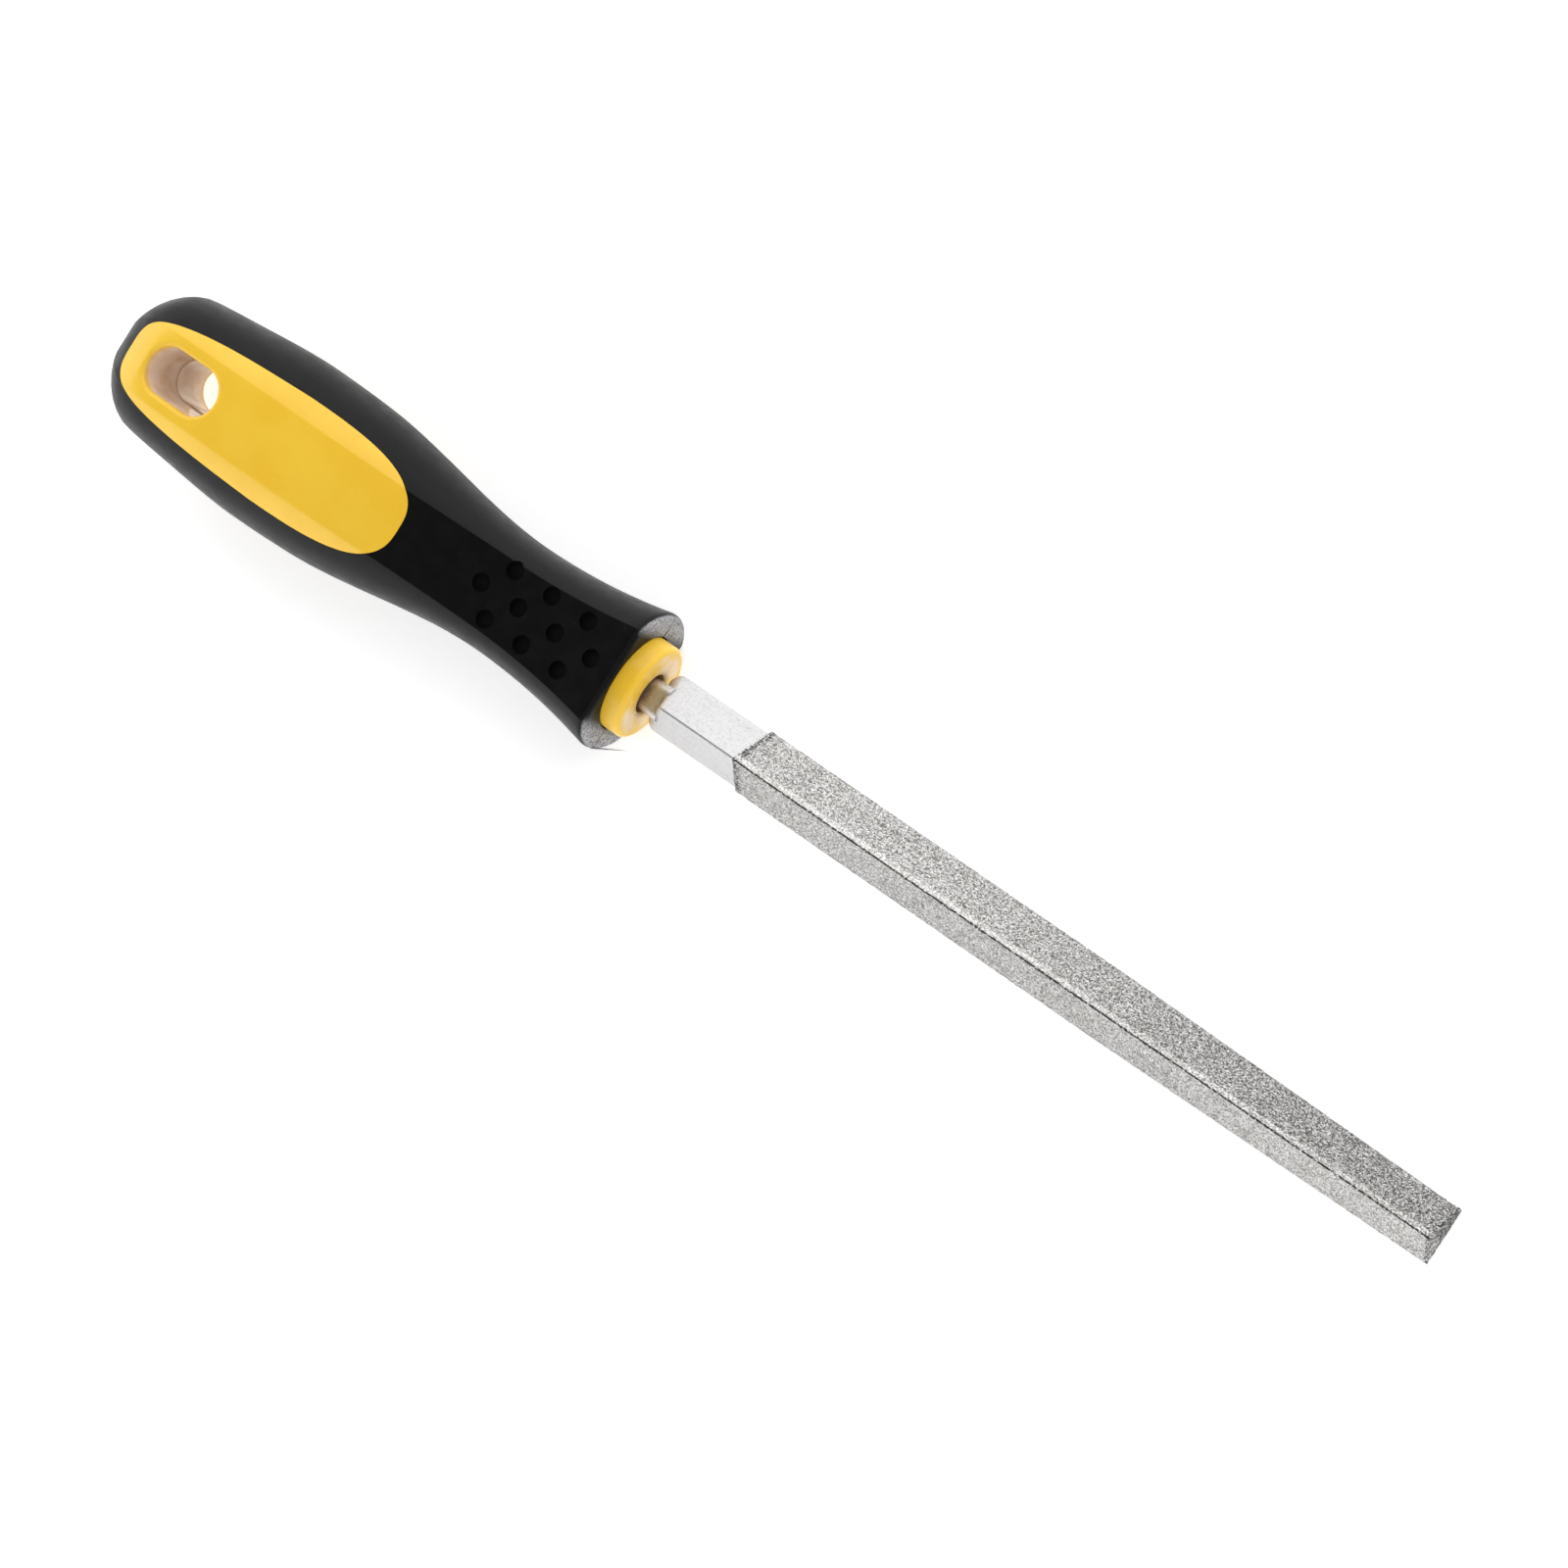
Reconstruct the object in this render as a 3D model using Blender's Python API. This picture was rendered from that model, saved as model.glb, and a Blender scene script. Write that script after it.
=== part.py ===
"""Three-square diamond hand file with a two-colour moulded handle.

The blade is a triangular steel bar with a nickel-bonded grit sleeve. Its tang
sits in a hard yellow core, whose collar, two grip pads and hang-hole eye show
through a black grip made of an upper and a lower half shell.

Frame: X runs along the axis towards the blade's tip, Z is up through the flat of
the upper pad, and the origin is the centre of the whole file's bounding box.
Places along X are written from the handle's front face, and an empty carries
the whole model to the frame.
"""

import math
from typing import NamedTuple

import bmesh
import bpy

MM = 0.001

# ---------------------------------------------------------------- overall sizes
HANDLE_LENGTH = 104.35 * MM
BLADE_REACH = 155.0 * MM

# ----------------------------------------------------------------- blade sizes
BLANK_SIDE = 10.3 * MM
BLANK_TIP_SIDE = 8.9 * MM
TAPER_LENGTH = 62.0 * MM
EDGE_BLUNT = 0.35 * MM
SHOULDER_GAP = 1.0 * MM
SHOULDER_LENGTH = 1.6 * MM
SHOULDER_DEPTH = 0.65 * MM
COAT_START = 22.8 * MM
COAT_PROUD = 0.30 * MM
COAT_GAP = 0.08 * MM
TANG_LENGTH = 42.0 * MM
TANG_ROOT_WIDTH = 4.4 * MM
TANG_ROOT_HEIGHT = 3.8 * MM
TANG_END_WIDTH = 3.0 * MM
TANG_END_HEIGHT = 2.4 * MM

# ---------------------------------------------------------------- handle sizes
EYE_FROM_BUTT = 16.95 * MM
BELLY_FROM_BUTT = 32.65 * MM
SWELL_END_FROM_BUTT = 43.25 * MM
NECK_FROM_FRONT = 24.9 * MM
FRONT_LIP_SIDE = 4.1 * MM
FRONT_LIP_TOP = 1.5 * MM
BUTT_ROUND = 13.75 * MM
BUTT_SIDE_ROUND = 9.2 * MM
BUTT_SIDE_POWER = 1.93
BUTT_TOP_POWER = 2.0
RIM_ROUND = 1.2 * MM
CREASE_ANGLE = math.radians(22.0)
SHELL_WALL = 2.4 * MM
FRONT_WALL = 3.0 * MM
CLEARANCE = 0.3 * MM

COLLAR_RADIUS = 8.28 * MM
COLLAR_PROUD = 3.3 * MM
COLLAR_ROUND = 0.8 * MM
COLLAR_BORE_DEPTH = 5.0 * MM
COLLAR_BORE_CLEARANCE = 0.5 * MM
THROAT_LENGTH = 5.0 * MM

PAD_FROM_BUTT = 4.85 * MM
PAD_FROM_FRONT = 43.0 * MM
PAD_WIDEST_FROM_BUTT = 36.85 * MM
PAD_HALF_WIDTH = 9.46 * MM
PAD_REAR_TAPER = 0.125
PAD_FRONT_POWER = 2.9
PAD_REAR_POWER = 3.4

HOLE_LENGTH = 14.1 * MM
HOLE_WIDTH = 8.3 * MM

DOT_RADIUS = 1.45 * MM
DOT_PROUD = 0.3 * MM
DOT_PITCH = 7.53 * MM
DOT_ROW_SPACING = 4.5 * MM
DOTS_FROM_FRONT = 4.7 * MM
DOTS_ACROSS = 0.4 * MM
MIDDLE_ROW_DOTS = 4

# ------------------------------------------------------------------ mesh detail
STATION_SPACING = 6.0 * MM
CAP_STEPS = 7
RIM_STEPS = 2
COLLAR_STEPS = 3
SIDE_STEPS = 6
OUTLINE_POINTS = 48
ROUND_SIDES = 48
DOT_SIDES = 12
OVERRUN = 5.0 * MM

BUTT = -HANDLE_LENGTH
EYE_X = BUTT + EYE_FROM_BUTT
BLANK_START = COLLAR_PROUD + SHOULDER_GAP
BLANK_TIP = BLADE_REACH - COAT_PROUD
TAPER_START = BLANK_TIP - TAPER_LENGTH
COLLAR_HOLE_RADIUS = COLLAR_RADIUS + CLEARANCE
UP = 1
DOWN = -1


class Station(NamedTuple):
    """Half sizes of the handle's cross-section at one place along X."""

    x: float
    half_width: float
    half_height: float
    half_flat: float


FRONT_STATION = Station(
    x=0.0,
    half_width=COLLAR_HOLE_RADIUS + FRONT_LIP_SIDE,
    half_height=COLLAR_HOLE_RADIUS + FRONT_LIP_TOP,
    half_flat=8.5 * MM,
)

HANDLE_STATIONS = (
    Station(BUTT, 11.22 * MM, 11.4 * MM, 5.6 * MM),
    Station(EYE_X, 13.2 * MM, 12.7 * MM, 5.9 * MM),
    Station(BUTT + BELLY_FROM_BUTT, 14.4 * MM, 13.0 * MM, 5.9 * MM),
    Station(BUTT + SWELL_END_FROM_BUTT, 14.1 * MM, 13.0 * MM, 5.9 * MM),
    Station(-NECK_FROM_FRONT, 9.7 * MM, 8.7 * MM, 6.1 * MM),
    FRONT_STATION,
)


# ------------------------------------------------------------ scene and objects
def clear_scene():
    """Remove every object that the file opened with."""
    for item in list(bpy.data.objects):
        bpy.data.objects.remove(item, do_unlink=True)


def make_material(name, color, roughness, metallic):
    """Make a Principled BSDF material."""
    material = bpy.data.materials.new(name)
    material.use_nodes = True
    shader = material.node_tree.nodes["Principled BSDF"]
    shader.inputs["Base Color"].default_value = (*color, 1.0)
    shader.inputs["Roughness"].default_value = roughness
    shader.inputs["Metallic"].default_value = metallic
    return material


def make_object(name, shape, parent, material=None):
    """Turn a bmesh into a named object under the parent empty."""
    bmesh.ops.recalc_face_normals(shape, faces=shape.faces)
    mesh = bpy.data.meshes.new(name)
    shape.to_mesh(mesh)
    shape.free()
    mesh.shade_smooth()
    mesh.set_sharp_from_angle(angle=math.radians(30.0))
    item = bpy.data.objects.new(name, mesh)
    bpy.context.collection.objects.link(item)
    item.parent = parent
    if material:
        mesh.materials.append(material)
    return item


def make_guide(name, shape, parent):
    """Make an object that only shapes others."""
    guide = make_object(name, shape, parent)
    guide.hide_render = True
    guide.display_type = "WIRE"
    return guide


def combine(body, guide, operation):
    """Add a Boolean modifier that joins, cuts or keeps with the guide."""
    modifier = body.modifiers.new(guide.name, "BOOLEAN")
    modifier.operation = operation
    modifier.solver = "EXACT"
    modifier.object = guide


# ---------------------------------------------------------------- shape helpers
def loft(rings):
    """Skin a row of closed rings, a ring of one point being a pole."""
    shape = bmesh.new()
    rows = [[shape.verts.new(point) for point in ring] for ring in rings]
    for first, second in zip(rows, rows[1:]):
        count = max(len(first), len(second))
        for index in range(count):
            following = (index + 1) % count
            corners = [first[index % len(first)], first[following % len(first)]]
            corners += [second[following % len(second)], second[index % len(second)]]
            shape.faces.new(list(dict.fromkeys(corners)))
    for row in (rows[0], rows[-1]):
        if len(row) > 1:
            shape.faces.new(row)
    return shape


def prism(outline, low, high):
    """Extrude a closed XY outline from z = low to z = high."""
    return loft([[(x, y, z) for x, y in outline] for z in (low, high)])


def turned(profile):
    """Turn a profile of (x, radius) points about the X axis, closed at both ends."""
    rings = []
    for x, radius in profile:
        angles = [math.tau * step / ROUND_SIDES for step in range(ROUND_SIDES)]
        rings.append([(x, radius * math.cos(a), radius * math.sin(a)) for a in angles])
    return loft(rings)


def smooth_curve(places, values):
    """Return a function for the smooth curve through the values, free of overshoot."""
    spans = [second - first for first, second in zip(places, places[1:])]
    chords = [(values[i + 1] - values[i]) / span for i, span in enumerate(spans)]
    slopes = [0.0]
    for before, after in zip(chords, chords[1:]):
        same_way = before * after > 0.0
        slopes.append(2.0 * before * after / (before + after) if same_way else 0.0)
    slopes.append(2.0 * chords[-1] - slopes[-1])
    slopes[0] = 2.0 * chords[0] - slopes[1]

    def value_at(place):
        index = 0
        while index < len(spans) - 1 and place > places[index + 1]:
            index += 1
        span = spans[index]
        t = (place - places[index]) / span
        start = values[index] * (2.0 * t**3 - 3.0 * t**2 + 1.0)
        leaving = slopes[index] * span * (t**3 - 2.0 * t**2 + t)
        end = values[index + 1] * (3.0 * t**2 - 2.0 * t**3)
        arriving = slopes[index + 1] * span * (t**3 - t**2)
        return start + leaving + end + arriving

    return value_at


STATION_PLACES = [station.x for station in HANDLE_STATIONS]
WIDTH_AT = smooth_curve(STATION_PLACES, [station.half_width for station in HANDLE_STATIONS])
HEIGHT_AT = smooth_curve(STATION_PLACES, [station.half_height for station in HANDLE_STATIONS])
FLAT_AT = smooth_curve(STATION_PLACES, [station.half_flat for station in HANDLE_STATIONS])
REACH = OVERRUN + max(station.half_width + station.half_height for station in HANDLE_STATIONS)


# --------------------------------------------------------------- handle outline
def closing(x, inset, length, power):
    """Share of a half size that is left at x, where the butt closes over a length."""
    depth = min(max(0.0, BUTT + length - x) / (length - inset), 1.0)
    return (1.0 - depth**power) ** (1.0 / power)


def handle_ring(x, inset):
    """Cross-section of the handle at x: flat above and below, convex sides.

    The inset draws it inwards all round. Near the butt the section closes to a
    point, over a shorter length across than from top to bottom.
    """
    side_closing = closing(x, inset, BUTT_SIDE_ROUND, BUTT_SIDE_POWER)
    top_closing = closing(x, inset, BUTT_ROUND, BUTT_TOP_POWER)
    half_width = (WIDTH_AT(x) - inset) * side_closing
    half_height = (HEIGHT_AT(x) - inset) * top_closing
    half_flat = (FLAT_AT(x) - inset / 2.0) * side_closing
    reach = (half_width - half_flat) / (1.0 - math.sin(CREASE_ANGLE))
    centre = half_width - reach
    rise = half_height / math.cos(CREASE_ANGLE)
    quarter = []
    for step in range(SIDE_STEPS + 1):
        angle = math.pi / 2 + (CREASE_ANGLE - math.pi / 2) * step / SIDE_STEPS
        quarter.append((centre + reach * math.sin(angle), rise * math.cos(angle)))
    ring = [(x, y, z) for y, z in quarter]
    ring += [(x, -y, z) for y, z in reversed(quarter)]
    ring += [(x, -y, -z) for y, z in quarter[1:]]
    ring += [(x, y, -z) for y, z in reversed(quarter[1:])]
    return ring


def handle_rings(inset, front):
    """Rings of the handle from its butt to x = front, drawn inwards by the inset."""
    cap_start = BUTT + BUTT_ROUND
    rings = [[(BUTT + inset, 0.0, 0.0)]]
    for step in range(1, CAP_STEPS):
        angle = math.pi / 2 * (1.0 - step / CAP_STEPS)
        rings.append(handle_ring(cap_start - (BUTT_ROUND - inset) * math.sin(angle), inset))
    count = math.ceil((front - cap_start) / STATION_SPACING)
    for step in range(count + 1):
        rings.append(handle_ring(cap_start + (front - cap_start) * step / count, inset))
    return rings


def outer_shape():
    """Full outer shape of the handle, with its front rim rounded."""
    rings = handle_rings(0.0, -RIM_ROUND)
    for step in range(1, RIM_STEPS + 1):
        angle = math.pi / 2 * step / RIM_STEPS
        depth = RIM_ROUND * (1.0 - math.cos(angle))
        rings.append(handle_ring(RIM_ROUND * (math.sin(angle) - 1.0), depth))
    return loft(rings)


def pad_outline(growth):
    """Plan outline of a grip pad, grown all round.

    It is a superellipse, longer behind its widest place and tapered there.
    """
    widest = BUTT + PAD_WIDEST_FROM_BUTT
    front_length = -PAD_FROM_FRONT - widest + growth
    rear_length = PAD_WIDEST_FROM_BUTT - PAD_FROM_BUTT + growth
    outline = []
    for step in range(OUTLINE_POINTS):
        angle = math.tau * step / OUTLINE_POINTS
        ahead = math.cos(angle) > 0.0
        power = PAD_FRONT_POWER if ahead else PAD_REAR_POWER
        along = abs(math.cos(angle)) ** (2.0 / power)
        across = math.copysign(abs(math.sin(angle)) ** (2.0 / power), math.sin(angle))
        x = widest + front_length * along if ahead else widest - rear_length * along
        taper = 1.0 if ahead else 1.0 - PAD_REAR_TAPER * along
        outline.append((x, (PAD_HALF_WIDTH + growth) * across * taper))
    return outline


def hole_outline():
    """Plan outline of the hang hole, with half-round ends."""
    radius = HOLE_WIDTH / 2.0
    half_straight = HOLE_LENGTH / 2.0 - radius
    outline = []
    for end in (1, -1):
        for step in range(ROUND_SIDES // 4 + 1):
            angle = math.pi * (step / (ROUND_SIDES // 4) - 0.5)
            x = EYE_X + end * (half_straight + radius * math.cos(angle))
            outline.append((x, end * radius * math.sin(angle)))
    return outline


# ----------------------------------------------------------------------- blade
def triangle_ring(x, side, inset=0.0):
    """Equilateral section with one edge up, its three edges cut flat.

    A positive inset draws all three faces inwards, a negative one outwards.
    """
    grown = side - 2.0 * math.sqrt(3.0) * inset
    corner_radius = grown / math.sqrt(3.0)
    corners = []
    for index in range(3):
        angle = math.radians(90.0 + 120.0 * index)
        corners.append((corner_radius * math.cos(angle), corner_radius * math.sin(angle)))
    share = EDGE_BLUNT / grown
    ring = []
    for index, (y, z) in enumerate(corners):
        for other in (corners[index - 1], corners[(index + 1) % 3]):
            ring.append((x, y + (other[0] - y) * share, z + (other[1] - z) * share))
    return ring


def bar_rings(start, end, inset):
    """Rings of the bar from start to end: straight, then tapered to the tip."""
    rings = []
    for x in (start, TAPER_START, end):
        share = max(0.0, x - TAPER_START) / TAPER_LENGTH
        side = BLANK_SIDE + (BLANK_TIP_SIDE - BLANK_SIDE) * share
        rings.append(triangle_ring(x, side, inset))
    return rings


def tang_ring(x, clearance):
    """Rectangular section of the tang at x, grown by a clearance."""
    share = (BLANK_START - x) / TANG_LENGTH
    width = TANG_ROOT_WIDTH + (TANG_END_WIDTH - TANG_ROOT_WIDTH) * share + 2.0 * clearance
    height = TANG_ROOT_HEIGHT + (TANG_END_HEIGHT - TANG_ROOT_HEIGHT) * share + 2.0 * clearance
    corners = ((1, 1), (-1, 1), (-1, -1), (1, -1))
    return [(x, side * width / 2.0, rise * height / 2.0) for side, rise in corners]


def build_file_blank(parent, material):
    """Bar, rounded shoulder and tapered tang, forged in one piece."""
    rings = []
    for share in (0.0, 0.3):
        depth = SHOULDER_DEPTH * (1.0 - share) ** 2
        rings.append(triangle_ring(BLANK_START + SHOULDER_LENGTH * share, BLANK_SIDE, depth))
    rings += bar_rings(BLANK_START + SHOULDER_LENGTH, BLANK_TIP, 0.0)
    blank = make_object("file_blank", loft(rings), parent, material)
    tang_places = (BLANK_START - TANG_LENGTH, BLANK_START + SHOULDER_LENGTH)
    tang = loft([tang_ring(x, 0.0) for x in tang_places])
    combine(blank, make_guide("tang_shape", tang, parent), "UNION")


def build_diamond_coating(parent, material):
    """Grit sleeve round the bar, closed over the tip and open at the rear."""
    inside = bar_rings(COAT_START, BLANK_TIP + COAT_GAP, -COAT_GAP)
    outside = bar_rings(COAT_START, BLADE_REACH, -COAT_PROUD)
    make_object("diamond_coating", loft(inside[::-1] + outside), parent, material)


# ---------------------------------------------------------------------- handle
def collar_shape():
    """Round collar in front of the handle, with the throat that joins it to the spine."""
    seat = CLEARANCE - FRONT_WALL
    throat_rear = seat - THROAT_LENGTH
    throat_radius = HEIGHT_AT(throat_rear) - SHELL_WALL - 2.0 * CLEARANCE
    profile = [(throat_rear, throat_radius), (seat, throat_radius), (seat, COLLAR_RADIUS)]
    for step in range(COLLAR_STEPS + 1):
        angle = math.pi / 2 * step / COLLAR_STEPS
        x = COLLAR_PROUD - COLLAR_ROUND * (1.0 - math.sin(angle))
        profile.append((x, COLLAR_RADIUS - COLLAR_ROUND * (1.0 - math.cos(angle))))
    return turned(profile)


def collar_bore():
    """Round mouth in the collar that clears the root of the tang."""
    half_diagonal = math.hypot(TANG_ROOT_WIDTH, TANG_ROOT_HEIGHT) / 2.0
    radius = half_diagonal + COLLAR_BORE_CLEARANCE
    return turned([(COLLAR_PROUD - COLLAR_BORE_DEPTH, radius), (COLLAR_PROUD + OVERRUN, radius)])


def tang_socket():
    """Tapered rectangular socket that the tang is driven into."""
    places = (BLANK_START - TANG_LENGTH - CLEARANCE, COLLAR_PROUD)
    return loft([tang_ring(x, CLEARANCE) for x in places])


def build_handle_core(parent, material):
    """Hard core: spine, two grip pads, collar, hang hole and tang socket."""
    spine_front = -FRONT_WALL - CLEARANCE
    spine = loft(handle_rings(SHELL_WALL + CLEARANCE, spine_front))
    core = make_object("handle_core", spine, parent, material)

    pads = make_guide("pad_shape", outer_shape(), parent)
    outline = make_guide("pad_outline", prism(pad_outline(0.0), -REACH, REACH), parent)
    combine(pads, outline, "INTERSECT")
    combine(core, pads, "UNION")
    combine(core, make_guide("collar_shape", collar_shape(), parent), "UNION")

    hole = make_guide("hang_hole_shape", prism(hole_outline(), -REACH, REACH), parent)
    combine(core, hole, "DIFFERENCE")
    combine(core, make_guide("collar_bore_shape", collar_bore(), parent), "DIFFERENCE")
    combine(core, make_guide("tang_socket_shape", tang_socket(), parent), "DIFFERENCE")


def dot_shapes(side):
    """Raised grip dots on one flat of the neck, in three staggered rows."""
    height = DOT_PROUD + SHELL_WALL / 2.0
    shape = bmesh.new()
    for row in (-1, 0, 1):
        for index in range(MIDDLE_ROW_DOTS - abs(row)):
            x = -DOTS_FROM_FRONT - DOT_PITCH * (index + abs(row) / 2.0)
            y = DOTS_ACROSS + row * DOT_ROW_SPACING
            z = side * (HEIGHT_AT(x) + DOT_PROUD - height / 2.0)
            dot = bmesh.ops.create_cone(
                shape,
                cap_ends=True,
                segments=DOT_SIDES,
                radius1=DOT_RADIUS,
                radius2=DOT_RADIUS,
                depth=height,
            )
            bmesh.ops.translate(shape, verts=dot["verts"], vec=(x, y, z))
    return shape


def shell_cutters(parent):
    """Cavity, pad windows and collar hole that both half shells share."""
    cavity = loft(handle_rings(SHELL_WALL, -FRONT_WALL))
    window = prism(pad_outline(CLEARANCE), -REACH, REACH)
    hole = turned([(x, COLLAR_HOLE_RADIUS) for x in (-FRONT_WALL - CLEARANCE, OVERRUN)])
    return (
        make_guide("cavity_shape", cavity, parent),
        make_guide("pad_window_shape", window, parent),
        make_guide("collar_hole_shape", hole, parent),
    )


def build_grip_shell(name, side, parent, material, cutters):
    """One half of the black grip: the outer shape less everything inside it."""
    shell = make_object(name, outer_shape(), parent, material)
    for cutter in cutters:
        combine(shell, cutter, "DIFFERENCE")
    rear = BUTT - OVERRUN
    outline = [(rear, -REACH), (OVERRUN, -REACH), (OVERRUN, REACH), (rear, REACH)]
    other_half = prism(outline, side * CLEARANCE / 2.0, -side * REACH)
    combine(shell, make_guide(name + "_parting_shape", other_half, parent), "DIFFERENCE")
    combine(shell, make_guide(name + "_dots_shape", dot_shapes(side), parent), "UNION")


def main():
    """Build every sub-part of the file in its frame."""
    clear_scene()
    frame = bpy.data.objects.new("handle_front", None)
    bpy.context.collection.objects.link(frame)
    frame.location.x = (HANDLE_LENGTH - BLADE_REACH) / 2.0

    yellow = make_material("yellow_plastic", (0.82, 0.47, 0.035), 0.38, 0.0)
    black = make_material("black_plastic", (0.012, 0.012, 0.013), 0.42, 0.0)
    steel = make_material("plated_steel", (0.72, 0.72, 0.73), 0.35, 1.0)
    grit = make_material("diamond_grit", (0.42, 0.41, 0.40), 0.55, 0.8)

    build_file_blank(frame, steel)
    build_diamond_coating(frame, grit)
    build_handle_core(frame, yellow)
    cutters = shell_cutters(frame)
    build_grip_shell("grip_shell_upper", UP, frame, black, cutters)
    build_grip_shell("grip_shell_lower", DOWN, frame, black, cutters)


main()
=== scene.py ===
"""Looks of a three-square diamond hand file with a two-colour moulded handle.

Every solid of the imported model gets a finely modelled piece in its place: the
satin steel bar with its tang, the grit sleeve, the yellow core with its pads,
eye and collar, and the two halves of the black grip. All sizes are in metres,
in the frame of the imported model: X runs along the axis towards the blade's tip,
and Z is up through the flat of the upper pad.
"""

import logging
import math
from collections.abc import Callable, Iterator
from contextlib import contextmanager
from dataclasses import dataclass, field
from enum import Enum
from typing import Any

import bmesh
import bpy
from mathutils import Matrix, Vector


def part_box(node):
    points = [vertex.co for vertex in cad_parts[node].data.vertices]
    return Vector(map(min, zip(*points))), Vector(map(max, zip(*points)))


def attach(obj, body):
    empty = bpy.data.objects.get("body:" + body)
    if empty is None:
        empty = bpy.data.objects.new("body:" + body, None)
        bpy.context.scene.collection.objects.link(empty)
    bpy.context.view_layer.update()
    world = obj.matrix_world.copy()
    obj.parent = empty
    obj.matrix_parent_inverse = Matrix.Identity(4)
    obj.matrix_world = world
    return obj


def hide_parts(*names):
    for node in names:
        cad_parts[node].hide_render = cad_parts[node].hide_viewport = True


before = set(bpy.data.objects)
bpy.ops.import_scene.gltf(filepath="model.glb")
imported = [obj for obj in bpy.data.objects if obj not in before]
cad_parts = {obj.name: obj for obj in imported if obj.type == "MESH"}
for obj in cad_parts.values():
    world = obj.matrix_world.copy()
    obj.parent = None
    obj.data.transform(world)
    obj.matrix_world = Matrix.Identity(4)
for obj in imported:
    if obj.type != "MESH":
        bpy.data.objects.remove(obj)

LOG = logging.getLogger("file_looks")
MM = 0.001
AXIS = Vector((0.0, 0.0, 0.0))

Place = tuple[float, float, float]
VertexTest = Callable[[Vector], bool]
EdgeTest = Callable[[Vector, Vector], bool]


class Join(Enum):
    """What a tool body does to the piece that it meets."""

    ADD = "UNION"
    CUT = "DIFFERENCE"
    KEEP = "INTERSECT"


class Half(Enum):
    """Side of the parting plane that a half of the grip lies on."""

    UPPER = 1
    LOWER = -1


# ------------------------------------------------------------------ the workbench
class Workpiece:
    """A mesh being shaped with the modelling operators."""

    def __init__(self, name: str) -> None:
        """Take over the primitive that was just added.

        Args:
            name: Name of the piece.
        """
        self.item = bpy.context.active_object
        self.item.name = name
        self.item.data.name = name
        self.alone()
        bpy.ops.object.transform_apply(location=True, rotation=True, scale=True)

    def alone(self) -> None:
        """Select only this piece."""
        if bpy.context.mode != "OBJECT":
            bpy.ops.object.mode_set(mode="OBJECT")
        bpy.ops.object.select_all(action="DESELECT")
        self.item.select_set(True)
        bpy.context.view_layer.objects.active = self.item

    @contextmanager
    def open(self) -> Iterator[None]:
        """Keep the piece in edit mode, with all of it deselected at first."""
        self.alone()
        bpy.ops.object.mode_set(mode="EDIT")
        bpy.ops.mesh.select_mode(type="VERT")
        bpy.ops.mesh.select_all(action="DESELECT")
        yield
        bpy.ops.object.mode_set(mode="OBJECT")

    def pick(self, test: VertexTest) -> int:
        """Select the vertices that pass a test of their place.

        Args:
            test: Says whether a vertex at a place is wanted.

        Returns:
            How many vertices are selected.
        """
        bpy.ops.mesh.select_mode(type="VERT")
        bpy.ops.mesh.select_all(action="DESELECT")
        shape = bmesh.from_edit_mesh(self.item.data)
        count = 0
        for vertex in shape.verts:
            if test(vertex.co):
                vertex.select = True
                count += 1
        shape.select_flush_mode()
        bmesh.update_edit_mesh(self.item.data)
        return count

    def pick_edges(self, test: EdgeTest) -> int:
        """Select the edges that pass a test of their two ends.

        Args:
            test: Says whether an edge between two places is wanted.

        Returns:
            How many edges are selected.
        """
        bpy.ops.mesh.select_all(action="DESELECT")
        bpy.ops.mesh.select_mode(type="EDGE")
        shape = bmesh.from_edit_mesh(self.item.data)
        count = 0
        for edge in shape.edges:
            if test(edge.verts[0].co, edge.verts[1].co):
                edge.select_set(True)
                count += 1
        bmesh.update_edit_mesh(self.item.data)
        return count

    def pull(self, by: Place) -> None:
        """Extrude what is selected and move the new part.

        Args:
            by: How far it moves.
        """
        bpy.ops.mesh.extrude_region_move(TRANSFORM_OT_translate={"value": by})

    def shift(self, by: Place) -> None:
        """Move what is selected."""
        bpy.ops.transform.translate(value=by)

    def stretch(self, by: Place, about: Vector | Place = AXIS) -> None:
        """Scale what is selected about a place.

        Args:
            by: Factor along each axis.
            about: The place that stays still.
        """
        bpy.ops.transform.resize(value=by, center_override=tuple(about))

    def roll(self, angle: float) -> None:
        """Turn the whole piece about the axis, its top towards -Y."""
        with self.open():
            self.pick(lambda place: True)
            bpy.ops.transform.rotate(value=-angle, orient_axis="X", center_override=tuple(AXIS))

    def weld(self, distance: float = 0.001 * MM) -> None:
        """Merge vertices that lie together, over the whole piece."""
        bpy.ops.mesh.select_mode(type="VERT")
        bpy.ops.mesh.select_all(action="SELECT")
        bpy.ops.mesh.remove_doubles(threshold=distance)

    def face_out(self) -> None:
        """Turn every face outwards."""
        bpy.ops.mesh.select_all(action="SELECT")
        bpy.ops.mesh.normals_make_consistent(inside=False)

    def modify(self, kind: str, **settings: Any) -> None:
        """Add a modifier and apply it at once.

        Args:
            kind: Type of the modifier.
            **settings: Its settings.
        """
        self.alone()
        modifier = self.item.modifiers.new(kind.title(), kind)
        for name, value in settings.items():
            setattr(modifier, name, value)
        bpy.ops.object.modifier_apply(modifier=modifier.name)

    def meet(self, tool: "Workpiece", how: Join) -> None:
        """Join, cut or keep this piece with a tool body.

        Args:
            tool: The body that it meets.
            how: What the body does.
        """
        self.modify("BOOLEAN", operation=how.value, solver="EXACT", object=tool.item)
        tool.scrap()

    def twin(self, name: str) -> "Workpiece":
        """Copy the piece with a mesh of its own.

        Args:
            name: Name of the copy.

        Returns:
            The copy.
        """
        self.alone()
        bpy.ops.object.duplicate(linked=False)
        return Workpiece(name)

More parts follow.
